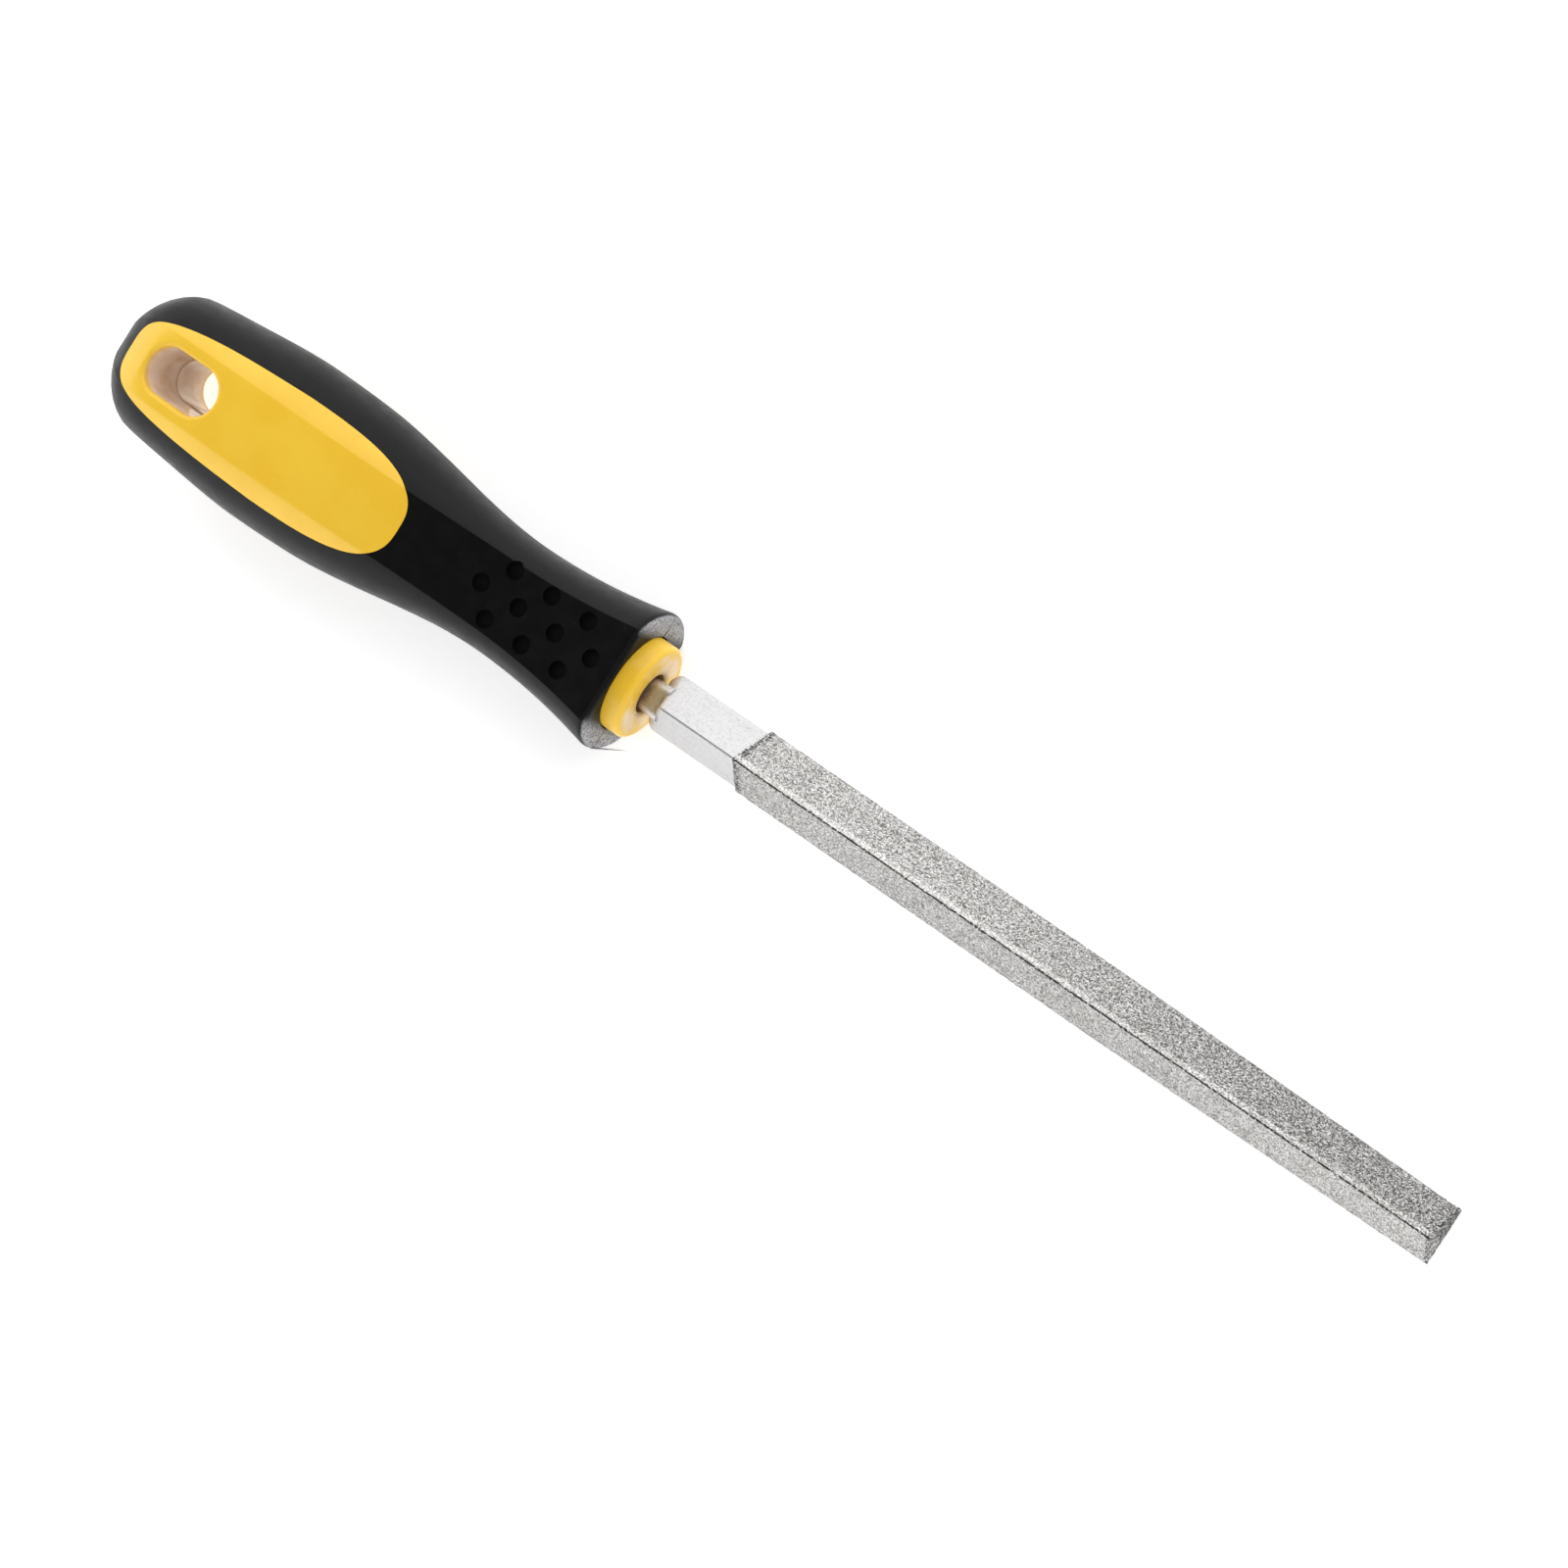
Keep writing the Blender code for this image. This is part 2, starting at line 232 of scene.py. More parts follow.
    def absorb(self, others: list["Workpiece"]) -> None:
        """Join other pieces into this mesh."""
        self.alone()
        for other in others:
            other.item.select_set(True)
        bpy.ops.object.join()

    def scrap(self) -> None:
        """Remove a piece that only shaped others."""
        mesh = self.item.data
        bpy.data.objects.remove(self.item, do_unlink=True)
        bpy.data.meshes.remove(mesh)

    def smooth(self, angle: float) -> None:
        """Shade smoothly, with edges sharper than the angle left crisp."""
        self.alone()
        bpy.ops.object.shade_smooth_by_angle(angle=math.radians(angle))

    def finish(self, material: bpy.types.Material, slot: str, *nodes: str) -> None:
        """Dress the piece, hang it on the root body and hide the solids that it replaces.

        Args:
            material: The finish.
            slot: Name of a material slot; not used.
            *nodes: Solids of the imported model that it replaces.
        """
        self.item.data.materials.clear()
        self.item.data.materials.append(material)
        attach(self.item, "root")
        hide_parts(*nodes)
        low, high = (Vector(corner) / MM for corner in extent(self.item))
        LOG.info(
            "%s: %d faces, %s to %s mm",
            self.item.name,
            len(self.item.data.polygons),
            tuple(round(v, 2) for v in low),
            tuple(round(v, 2) for v in high),
        )


def extent(item: bpy.types.Object) -> tuple[Vector, Vector]:
    """Lowest and highest corner of a mesh object at the origin."""
    places = [vertex.co for vertex in item.data.vertices]
    low = Vector(min(place[axis] for place in places) for axis in range(3))
    high = Vector(max(place[axis] for place in places) for axis in range(3))
    return low, high


def ring(name: str, count: int, radius: float, at: Place, turn: Place) -> Workpiece:
    """Add a bare circle.

    Args:
        name: Name of the piece.
        count: Number of its vertices.
        radius: Its radius.
        at: Its centre.
        turn: Its rotation in radians.

    Returns:
        The circle.
    """
    bpy.ops.object.select_all(action="DESELECT")
    bpy.ops.mesh.primitive_circle_add(
        vertices=count, radius=radius, fill_type="NOTHING", location=at, rotation=turn
    )
    return Workpiece(name)


def block(name: str, low: Place, high: Place) -> Workpiece:
    """Add a box between two corners."""
    bpy.ops.object.select_all(action="DESELECT")
    middle = (Vector(low) + Vector(high)) / 2.0
    bpy.ops.mesh.primitive_cube_add(size=1.0, location=middle)
    bpy.context.active_object.scale = Vector(high) - Vector(low)
    return Workpiece(name)


# ------------------------------------------------------------------- curves
class SmoothCurve:
    """Smooth curve through values at places, which never overshoots them."""

    def __init__(self, places: list[float], values: list[float]) -> None:
        """Work out the slope at every place.

        Args:
            places: Where the values stand, rising.
            values: The values.
        """
        self.places = places
        self.values = values
        spans = [b - a for a, b in zip(places, places[1:])]
        chords = [(values[i + 1] - values[i]) / span for i, span in enumerate(spans)]
        self.slopes = [0.0]
        for before, after in zip(chords, chords[1:]):
            agree = before * after > 0.0
            self.slopes.append(2.0 * before * after / (before + after) if agree else 0.0)
        self.slopes.append(2.0 * chords[-1] - self.slopes[-1])
        self.slopes[0] = 2.0 * chords[0] - self.slopes[1]

    def at(self, place: float) -> float:
        """Value of the curve at a place."""
        index = 0
        while index < len(self.places) - 2 and place > self.places[index + 1]:
            index += 1
        span = self.places[index + 1] - self.places[index]
        t = (place - self.places[index]) / span
        start = self.values[index] * (2.0 * t**3 - 3.0 * t**2 + 1.0)
        leaving = self.slopes[index] * span * (t**3 - 2.0 * t**2 + t)
        end = self.values[index + 1] * (3.0 * t**2 - 2.0 * t**3)
        arriving = self.slopes[index + 1] * span * (t**3 - t**2)
        return start + leaving + end + arriving


# ---------------------------------------------------------------- shader signals
class Signal:
    """A value in a shader, reckoned with as an ordinary number."""

    def __init__(self, book: "ShaderBook", socket: bpy.types.NodeSocket) -> None:
        """Wrap the output of a node."""
        self.book = book
        self.socket = socket

    def _sum(self, operation: str, *values: Any) -> "Signal":
        """Put a Math node behind some values."""
        return self.book.node("ShaderNodeMath", {"operation": operation}, *values)

    def __add__(self, other: Any) -> "Signal":
        """Add."""
        return self._sum("ADD", self, other)

    def __radd__(self, other: Any) -> "Signal":
        """Add to a number."""
        return self._sum("ADD", other, self)

    def __sub__(self, other: Any) -> "Signal":
        """Subtract."""
        return self._sum("SUBTRACT", self, other)

    def __rsub__(self, other: Any) -> "Signal":
        """Subtract from a number."""
        return self._sum("SUBTRACT", other, self)

    def __mul__(self, other: Any) -> "Signal":
        """Multiply."""
        return self._sum("MULTIPLY", self, other)

    def __rmul__(self, other: Any) -> "Signal":
        """Multiply a number."""
        return self._sum("MULTIPLY", other, self)

    def __pow__(self, other: Any) -> "Signal":
        """Raise to a power."""
        return self._sum("POWER", self, other)

    def size(self) -> "Signal":
        """Value without its sign."""
        return self._sum("ABSOLUTE", self)

    def at_least(self, floor: float) -> "Signal":
        """Value, or the floor where it is smaller."""
        return self._sum("MAXIMUM", self, floor)

    def band(self, middle: float, half_width: float) -> "Signal":
        """Soft band that is 1 in its middle and 0 beyond its half width."""
        return (self - middle).size().clamped(half_width, 0.3 * half_width)

    def clamped(self, low: float, high: float, to: tuple[float, float] = (0.0, 1.0)) -> "Signal":
        """Map a range smoothly to another and stop at its ends.

        Args:
            low: Where the range starts.
            high: Where it ends.
            to: The range that it becomes.

        Returns:
            The mapped signal.
        """
        settings = {"interpolation_type": "SMOOTHSTEP"}
        return self.book.node("ShaderNodeMapRange", settings, self, low, high, to[0], to[1])


class ShaderBook:
    """The nodes of one material."""

    def __init__(self, name: str) -> None:
        """Start a material with a bare Principled shader."""
        self.material = bpy.data.materials.new(name)
        self.material.use_nodes = True
        self.tree = self.material.node_tree
        self.shader = self.tree.nodes["Principled BSDF"]

    def node(self, kind: str, settings: dict[str, Any], *values: Any, out: Any = 0) -> Signal:
        """Add a node and feed its sockets in order.

        Args:
            kind: Type of the node.
            settings: Its own settings, set before its sockets.
            *values: A number, colour, signal or None for each socket in turn.
            out: Name or index of the output that is wanted.

        Returns:
            The output as a signal.
        """
        made = self.tree.nodes.new(kind)
        for name, value in settings.items():
            setattr(made, name, value)
        sockets = [socket for socket in made.inputs if socket.enabled]
        for socket, value in zip(sockets, values):
            self.feed(socket, value)
        outputs = [socket for socket in made.outputs if socket.enabled]
        chosen = outputs[out] if isinstance(out, int) else made.outputs[out]
        return Signal(self, chosen)

    def feed(self, socket: bpy.types.NodeSocket, value: Any) -> None:
        """Link or set one socket."""
        if isinstance(value, Signal):
            self.tree.links.new(value.socket, socket)
        elif isinstance(value, tuple) and len(value) == 3 and socket.type == "RGBA":
            socket.default_value = (*value, 1.0)
        elif value is not None:
            socket.default_value = value

    def dress(self, **values: Any) -> None:
        """Feed sockets of the Principled shader, named with underscores for blanks."""
        for name, value in values.items():
            self.feed(self.shader.inputs[name.replace("_", " ").title()], value)

    def place(self, stretch: Place = (1.0, 1.0, 1.0)) -> Signal:
        """Object coordinates, scaled along each axis."""
        spot = self.node("ShaderNodeTexCoord", {}, out="Object")
        if stretch == (1.0, 1.0, 1.0):
            return spot
        return self.node("ShaderNodeVectorMath", {"operation": "MULTIPLY"}, spot, stretch)

    def noise(self, spot: Signal, grain: float, detail: float = 3.0, rough: float = 0.5) -> Signal:
        """Cloudy noise between 0 and 1.

        Args:
            spot: Coordinates that it is laid on.
            grain: Size of its clouds.
            detail: Octaves of finer clouds.
            rough: Strength of the finer clouds.

        Returns:
            The noise.
        """
        return self.node("ShaderNodeTexNoise", {}, spot, 1.0 / grain, detail, rough)

    def cells(self, spot: Signal, grain: float, out: str = "Distance") -> Signal:
        """Voronoi cells of a size, as the distance or the colour of each."""
        return self.node("ShaderNodeTexVoronoi", {}, spot, 1.0 / grain, out=out)

    def blend(self, share: Signal | float, first: Any, second: Any) -> Signal:
        """Mix two colours by a share of the second."""
        settings = {"data_type": "RGBA", "clamp_factor": True}
        return self.node("ShaderNodeMix", settings, share, first, second)

    def bump(self, height: Signal, depth: float, normal: Signal | None = None) -> Signal:
        """Turn a height between 0 and 1 into a bumped normal of a real depth."""
        made = self.node("ShaderNodeBump", {}, 1.0, depth)
        self.feed(made.socket.node.inputs["Height"], height)
        if normal:
            self.feed(made.socket.node.inputs["Normal"], normal)
        return made

    def along(self, spot: Signal, axis: str) -> Signal:
        """One coordinate of a place."""
        return self.node("ShaderNodeSeparateXYZ", {}, spot, out=axis)


# ---------------------------------------------------------------------- finishes
@dataclass(frozen=True)
class YellowPlastic:
    """Hard glossy plastic, with painted light on the hang hole's wall and a painted highlight and
    painted shade round the tang's mouth.
    """

    eye: float
    collar_face: float
    name: str = "yellow_plastic_finish"
    colour: Place = (0.795, 0.482, 0.034)
    pale: Place = (0.815, 0.515, 0.043)
    deep: Place = (0.62, 0.33, 0.018)
    # Painted light: pale and tan tones painted on the hang hole's wall.
    painted_wall_light: Place = (0.90, 0.78, 0.71)
    tan: Place = (0.70, 0.50, 0.36)
    # Painted highlight on the collar's face, and painted shade in the tang's mouth.
    painted_highlight: Place = (0.80, 0.62, 0.42)
    painted_bore_shade: Place = (0.36, 0.22, 0.10)
    gloss: float = 0.22
    hole_radius: float = 4.15 * MM
    hole_straight: float = 2.9 * MM
    hole_top: float = 11.9 * MM
    wall_fade: float = 2.6 * MM
    mouth_radius: float = 3.41 * MM
    # Ring where the painted highlight lies, and depth of the painted shade in the mouth.
    highlight_radius: float = 5.4 * MM
    highlight_width: float = 2.4 * MM
    shade_depth: float = 9.0 * MM
    shade_full_depth: float = 7.0 * MM

    def in_hole(self, book: "ShaderBook", spot: Signal) -> Signal:
        """Share of the hang hole's wall at a place.

        Args:
            book: The nodes.
            spot: Object coordinates.

        Returns:
            1 on the wall of the hole and 0 outside it.
        """
        beyond = (book.along(spot, "X") - self.eye).size() - self.hole_straight
        beyond = beyond.at_least(0.0)
        across = book.along(spot, "Y")
        away = (beyond * beyond + across * across) ** 0.5
        wall = away.clamped(self.hole_radius + 0.30 * MM, self.hole_radius + 0.02 * MM)
        height = book.along(spot, "Z").size()
        return wall * height.clamped(self.hole_top, self.hole_top - self.wall_fade)

    def round_mouth(self, book: "ShaderBook", spot: Signal) -> tuple[Signal, Signal]:
        """Shares of the painted highlight and of the painted shade on the collar's face.

        Args:
            book: The nodes.
            spot: Object coordinates.

        Returns:
            The painted highlight above and below the mouth, and the painted shade next to it.
        """
        across, height = book.along(spot, "Y"), book.along(spot, "Z")
        radius = (across * across + height * height) ** 0.5
        front = book.along(spot, "X").clamped(
            self.collar_face - 1.4 * MM, self.collar_face - 0.3 * MM
        )
        cloud = book.noise(spot, 3.4 * MM, 1.0)
        # Painted highlight: a pale ring above and below the mouth.
        painted_highlight = radius.band(self.highlight_radius, self.highlight_width)
        painted_highlight = painted_highlight * across.size().clamped(2.2 * MM, 4.4 * MM)
        painted_highlight = painted_highlight * front * cloud.clamped(0.30, 0.62)
        # Painted shade in the mouth and round its edge.
        mouth = book.along(spot, "X").clamped(
            self.collar_face - self.shade_depth, self.collar_face - self.shade_full_depth
        )
        shade = radius.clamped(self.mouth_radius + 1.3 * MM, self.mouth_radius - 0.1 * MM)
        return painted_highlight, shade * mouth

    def make(self) -> bpy.types.Material:
        """Build the material."""
        book = ShaderBook(self.name)
        spot = book.place()
        clouds = book.noise(spot, 9.0 * MM, 4.0)
        flow = book.noise(book.place((0.12, 1.0, 1.0)), 1.1 * MM, 3.0)
        skin = book.noise(spot, 0.35 * MM, 2.0)
        dirt = book.noise(spot, 0.8 * MM, 5.0, 0.62)
        specks = book.cells(spot, 3.1 * MM).clamped(0.075, 0.035) * dirt.clamped(0.46, 0.52)
        tone = book.blend(clouds.clamped(0.35, 0.65), self.pale, self.colour)
        tone = book.blend(dirt.clamped(0.64, 0.80, (0.0, 0.25)) + specks * 0.5, tone, self.deep)
        # Painted light on the hang hole's wall: pale, streaked tones stand in for the bright light
        # seen on it.
        hole = self.in_hole(book, spot)
        wall_light_streak = book.noise(book.place((1.0, 1.0, 0.6)), 3.2 * MM, 2.0)
        wall_light_tone = book.blend(wall_light_streak.clamped(0.42, 0.68, (0.0, 0.7)), self.painted_wall_light, self.tan)
        tone = book.blend(hole * 0.94, tone, wall_light_tone)
        # Painted highlight on the collar's face round the tang's mouth, and painted shade in the
        # mouth.
        painted_highlight, shade = self.round_mouth(book, spot)
        tone = book.blend(painted_highlight * 0.85, tone, self.painted_highlight)
        tone = book.blend(shade * 0.85, tone, self.painted_bore_shade)
        rough = self.gloss + flow * 0.03 + dirt.clamped(0.55, 0.75, (0.0, 0.12)) - hole * 0.12
        ripple = book.bump(flow, 0.003 * MM)
        book.dress(base_color=tone, roughness=rough, normal=book.bump(skin, 0.004 * MM, ripple))
        book.shader.inputs["IOR"].default_value = 1.49
        book.shader.inputs["Specular IOR Level"].default_value = 0.30
        return book.material


@dataclass(frozen=True)
class BlackPlastic:
    """Black grip plastic: satin, finely grained, with a painted grey reflection on its front face.
    """

    front: float
    name: str = "black_plastic_finish"
    colour: Place = (0.0036, 0.0036, 0.0038)
    dust: Place = (0.050, 0.050, 0.052)
    painted_face_reflection: Place = (0.50, 0.50, 0.52)
    gloss: float = 0.30

    def make(self) -> bpy.types.Material:
        """Build the material."""
        book = ShaderBook(self.name)
        spot = book.place()
        grain = book.noise(spot, 0.22 * MM, 2.0)
        mottle = book.noise(spot, 2.6 * MM, 4.0, 0.6)
        rubs = book.noise(book.place((0.10, 1.0, 1.0)), 0.5 * MM, 3.0, 0.6)
        specks = book.cells(spot, 1.5 * MM)
        speck = specks.clamped(0.10, 0.02) * mottle.clamped(0.50, 0.62)
        lint = rubs.clamped(0.70, 0.80) * mottle.clamped(0.45, 0.6)
        share = speck * 0.5 + lint * 0.25
        tone = book.blend(share, self.colour, self.dust)
        # Painted reflection: the front face is greyed as if it reflected the white surroundings.
        face = book.along(spot, "X").clamped(self.front - 0.45 * MM, self.front - 0.15 * MM)
        face = face * book.along(spot, "Y").size().clamped(7.2 * MM, 9.8 * MM)
        face_reflection_grain = book.noise(spot, 0.30 * MM, 3.0, 0.7).clamped(0.34, 0.66, (0.22, 1.0))
        tone = book.blend(face * face_reflection_grain, tone, self.painted_face_reflection)
        rough = self.gloss + mottle.clamped(0.3, 0.7, (0.0, 0.10)) + grain * 0.06 + face * 0.2
        satin = book.bump(mottle, 0.016 * MM)
        book.dress(
            base_color=tone,
            roughness=rough,
            normal=book.bump(grain, 0.006 * MM, satin),
        )
        book.shader.inputs["IOR"].default_value = 1.50
        book.shader.inputs["Specular IOR Level"].default_value = 0.12
        return book.material


@dataclass(frozen=True)
class SatinSteel:
    """Nickel-plated steel, ground lengthwise, mottled, with a painted brownish shade next to the
    handle.
    """

    root: float
    name: str = "plated_steel_finish"
    colour: Place = (0.60, 0.597, 0.604)
    dull: Place = (0.30, 0.30, 0.31)
    painted_root_shade: Place = (0.42, 0.31, 0.21)
    gloss: float = 0.34

    def make(self) -> bpy.types.Material:
        """Build the material."""
        book = ShaderBook(self.name)
        spot = book.place()
        lines = book.noise(book.place((0.025, 1.0, 1.0)), 0.20 * MM, 3.0, 0.6)
        mottle = book.noise(spot, 0.50 * MM, 4.0, 0.7)
        pits = book.cells(spot, 0.42 * MM)
        stain = mottle.clamped(0.46, 0.72) * 0.45 + lines.clamped(0.56, 0.78) * 0.45
        stain = stain + pits.clamped(0.18, 0.05) * 0.45
        tone = book.blend(stain, self.colour, self.dull)
        # Painted shade: the root is darkened brown where it goes into the collar's mouth.
        root_shade_share = book.along(spot, "X").clamped(self.root + 1.0 * MM, self.root - 1.2 * MM)
        tone = book.blend(root_shade_share * mottle.clamped(0.25, 0.60, (0.35, 1.0)), tone, self.painted_root_shade)
        rough = self.gloss + mottle * 0.18 + lines * 0.08
        ground = book.bump(lines, 0.012 * MM)
        book.dress(
            base_color=tone,
            metallic=1.0,
            roughness=rough,
            normal=book.bump(mottle, 0.036 * MM, ground),
        )
        return book.material


@dataclass(frozen=True)
class DiamondGrit:
    """Diamond grit bonded in nickel: bright grains over darker metal."""

    rear: float
    tip: float
    ridge: float
    name: str = "diamond_grit_finish"
    grain_colour: Place = (0.80, 0.79, 0.775)
    bond_colour: Place = (0.045, 0.044, 0.043)
    warm: Place = (0.56, 0.53, 0.49)

    def make(self) -> bpy.types.Material:
        """Build the material."""
        book = ShaderBook(self.name)
        spot = book.place()
        x, z = book.along(spot, "X"), book.along(spot, "Z")
        aside = book.along(spot, "Y") - self.ridge
        grains = book.cells(spot, 0.30 * MM)
        coarse = book.noise(spot, 0.42 * MM, 3.0, 0.65)
        fine = book.noise(spot, 0.20 * MM, 2.0, 0.7)
        patches = book.noise(spot, 2.2 * MM, 2.0)
        share = grains.clamped(0.26, 0.58) * 0.42 + fine.clamped(0.42, 0.60) * 0.34
        share = share + coarse.clamped(0.42, 0.58) * 0.42 - 0.14
        # Painted light and shade: the upper face darkens towards the tip and the lower face
        # lightens there, as the light falls on them.
        upper_tip_shade = x.clamped(self.tip - 120.0 * MM, self.tip - 4.0 * MM)
        upper = aside.clamped(-0.1 * MM, 0.1 * MM)
        share = share + upper_tip_shade * upper * 0.20 - (1.0 - upper) * (
            x.clamped(self.tip - 60.0 * MM, self.tip - 12.0 * MM) * 0.06
        )
        crest = z.clamped(3.2 * MM, 3.8 * MM)
        line = aside.band(-0.02 * MM, 0.20 * MM) * crest * coarse.clamped(0.36, 0.50)
        flecks = aside.band(0.50 * MM, 0.55 * MM) * crest * fine.clamped(0.50, 0.56)
        rim = x.band(self.tip - 0.25 * MM, 0.45 * MM) * coarse.clamped(0.40, 0.55)
        # Painted shade along the sleeve's rear edge, where it steps up from the bar.
        back = x.clamped(self.rear + 1.3 * MM, self.rear + 0.1 * MM) * coarse.clamped(0.30, 0.60)
        share = share + line * 0.85 + rim * 0.45 + back * 0.40 - flecks * 0.7
        tone = book.blend(patches.clamped(0.45, 0.75, (0.0, 0.6)), self.grain_colour, self.warm)
        tone = book.blend(share, tone, self.bond_colour)
        rough = 0.40 + fine * 0.25
        height = (1.0 - grains) * 0.7 + coarse * 0.7
        book.dress(
            base_color=tone,
            metallic=0.85,
            roughness=rough,
            normal=book.bump(height, 0.12 * MM),
        )
        return book.material


@dataclass(frozen=True)
class PaleFloor:
    """White acrylic sheet, softly lit from below."""

    name: str = "pale_floor_finish"
    colour: Place = (0.93, 0.93, 0.93)
    glow: float = 0.40

    def make(self) -> bpy.types.Material:
        """Build the material."""
        book = ShaderBook(self.name)
        fibres = book.noise(book.place(), 2.0 * MM, 3.0)
        tone = book.blend(fibres.clamped(0.2, 0.8, (0.0, 0.1)), self.colour, (0.9, 0.9, 0.9))
        book.dress(base_color=tone, roughness=0.9)
        book.shader.inputs["Emission Color"].default_value = (1.0, 1.0, 1.0, 1.0)
        book.shader.inputs["Emission Strength"].default_value = self.glow
        return book.material


# ------------------------------------------------------------------------- blade
@dataclass
class Blade:
    """Triangular steel bar with its tang, and the grit sleeve round it."""

    steel: bpy.types.Material
    grit: bpy.types.Material
    side: float = 10.3 * MM
    tip_side: float = 8.9 * MM
    taper_length: float = 62.0 * MM
    edge_blunt: float = 0.35 * MM
    shoulder_length: float = 1.6 * MM
    shoulder_depth: float = 1.10 * MM
    shoulder_slant: float = 2.5 * MM
    root_half: tuple[float, float] = (3.0 * MM, 2.6 * MM)
    root_length: float = 4.2 * MM
    root_edge: float = 1.2 * MM
    bar_blunt: float = 0.20 * MM
    roll: float = math.radians(3.0)
    shoulder_steps: int = 6
    tang_length: float = 42.0 * MM
    tang_root: tuple[float, float] = (4.4 * MM, 3.8 * MM)
    tang_end: tuple[float, float] = (3.0 * MM, 2.4 * MM)
    tang_edge: float = 0.35 * MM
    coat_proud: float = 0.41 * MM
    coat_gap: float = 0.03 * MM
    end_reach: float = 2.4 * MM
    coat_face_cuts: int = 44
    coat_length_cuts: int = 98
    start: float = field(init=False)
    tip: float = field(init=False)
    coat_start: float = field(init=False)
    coat_tip: float = field(init=False)

    def __post_init__(self) -> None:
        """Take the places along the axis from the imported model."""
        blank_low, blank_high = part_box("file_blank")
        coat_low, coat_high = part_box("diamond_coating")
        self.start = blank_low[0] + self.tang_length
        self.tip = blank_high[0]
        self.coat_start = coat_low[0]
        self.coat_tip = coat_high[0]

    def side_at(self, x: float) -> float:
        """Side of the bar's triangle at a place along the axis."""
        share = max(0.0, x - (self.tip - self.taper_length)) / self.taper_length
        return self.side + (self.tip_side - self.side) * min(share, 1.0)

    def triangle(
        self, name: str, x: float, side: float, blunt: float, steps: int
    ) -> Workpiece:
        """Add a triangle across the axis, one corner up and its corners blunted.

        Args:
            name: Name of the piece.
            x: Place along the axis.
            side: Length of a side.
            blunt: How far along the sides the corners are blunted.
            steps: Number of facets in a blunted corner.

        Returns:
            The triangle.
        """
        turn = (math.pi / 2.0, 0.0, math.pi / 2.0)
        piece = ring(name, 3, side / math.sqrt(3.0), (x, 0.0, 0.0), turn)
        with piece.open():
            piece.pick(lambda place: True)
            bpy.ops.mesh.bevel(
                offset=blunt, segments=steps, profile=0.3, affect="VERTICES"
            )
        return piece

    def build_bar(self) -> None:
        """Bar, rounded shoulder and tang, replacing the blank."""
        begin = self.side - 2.0 * math.sqrt(3.0) * self.shoulder_depth
        piece = self.triangle("steel_bar", self.start, begin, self.bar_blunt, 2)
        with piece.open():
            piece.pick(lambda place: True)
            x, side = self.start, begin
            stations = []
            for step in range(1, self.shoulder_steps + 1):
                angle = math.pi / 2.0 * step / self.shoulder_steps
                depth = self.shoulder_depth * (1.0 - math.sin(angle))
                place = self.start + self.shoulder_length * (1.0 - math.cos(angle))
                stations.append((place, self.side - 2.0 * math.sqrt(3.0) * depth))
            stations.append((self.tip - self.taper_length, self.side))
            stations.append((self.tip, self.tip_side))
            for place, wanted in stations:
                piece.pull((place - x, 0.0, 0.0))
                piece.stretch((1.0, wanted / side, wanted / side))
                x, side = place, wanted
            bpy.ops.mesh.edge_face_add()
            piece.pick(lambda place: place.x < self.start + 0.001 * MM)
            bpy.ops.mesh.edge_face_add()
            shoulder = self.start + self.shoulder_length + 0.01 * MM
            piece.pick(lambda place: place.x < shoulder and place.z > 1.0 * MM)
            piece.shift((self.shoulder_slant, 0.0, 0.0))
            piece.face_out()
        piece.roll(self.roll)
        piece.meet(self.tang("tang_stub", 0.0, 2.0 * self.shoulder_length), Join.ADD)
        piece.meet(self.broad_root(), Join.ADD)
        piece.smooth(30.0)
        piece.finish(self.steel, "plated_steel", "file_blank")

    def tang(self, name: str, clearance: float, root_reach: float) -> Workpiece:
        """Tapered rectangular tang, or the socket that it sits in.

        Args:
            name: Name of the piece.
            clearance: How much it is grown all round.
            root_reach: How far it runs past the shoulder.

        Returns:
            The tapered bar.
        """
        rear = self.start - self.tang_length - clearance
        front = self.start + root_reach
        width = self.tang_root[0] / 2.0 + clearance
        height = self.tang_root[1] / 2.0 + clearance
        piece = block(name, (rear, -width, -height), (front, width, height))
        with piece.open():
            piece.pick(lambda place: place.x < self.start - self.tang_length / 2.0)
            narrow = (self.tang_end[0] / 2.0 + clearance) / width
            flat = (self.tang_end[1] / 2.0 + clearance) / height
            piece.stretch((1.0, narrow, flat))
            piece.pick_edges(lambda a, b: abs(a.x - b.x) > self.tang_length / 2.0)
            bpy.ops.mesh.bevel(offset=self.tang_edge, segments=3, affect="EDGES")
        return piece

    def broad_root(self) -> Workpiece:
        """Broad root where the bar was drawn down to the tang."""
        width, height = self.root_half
        low = (self.start - self.root_length, -width, -height)
        high = (self.start + self.shoulder_slant, width, height)
        piece = block("broad_root", low, high)
        with piece.open():
            piece.pick(lambda place: place.x < self.start)
            piece.stretch((1.0, 0.8, 0.8))
            piece.pick_edges(lambda a, b: abs(a.x - b.x) > self.root_length / 2.0)
            bpy.ops.mesh.bevel(offset=self.root_edge, segments=4, affect="EDGES")
        return piece

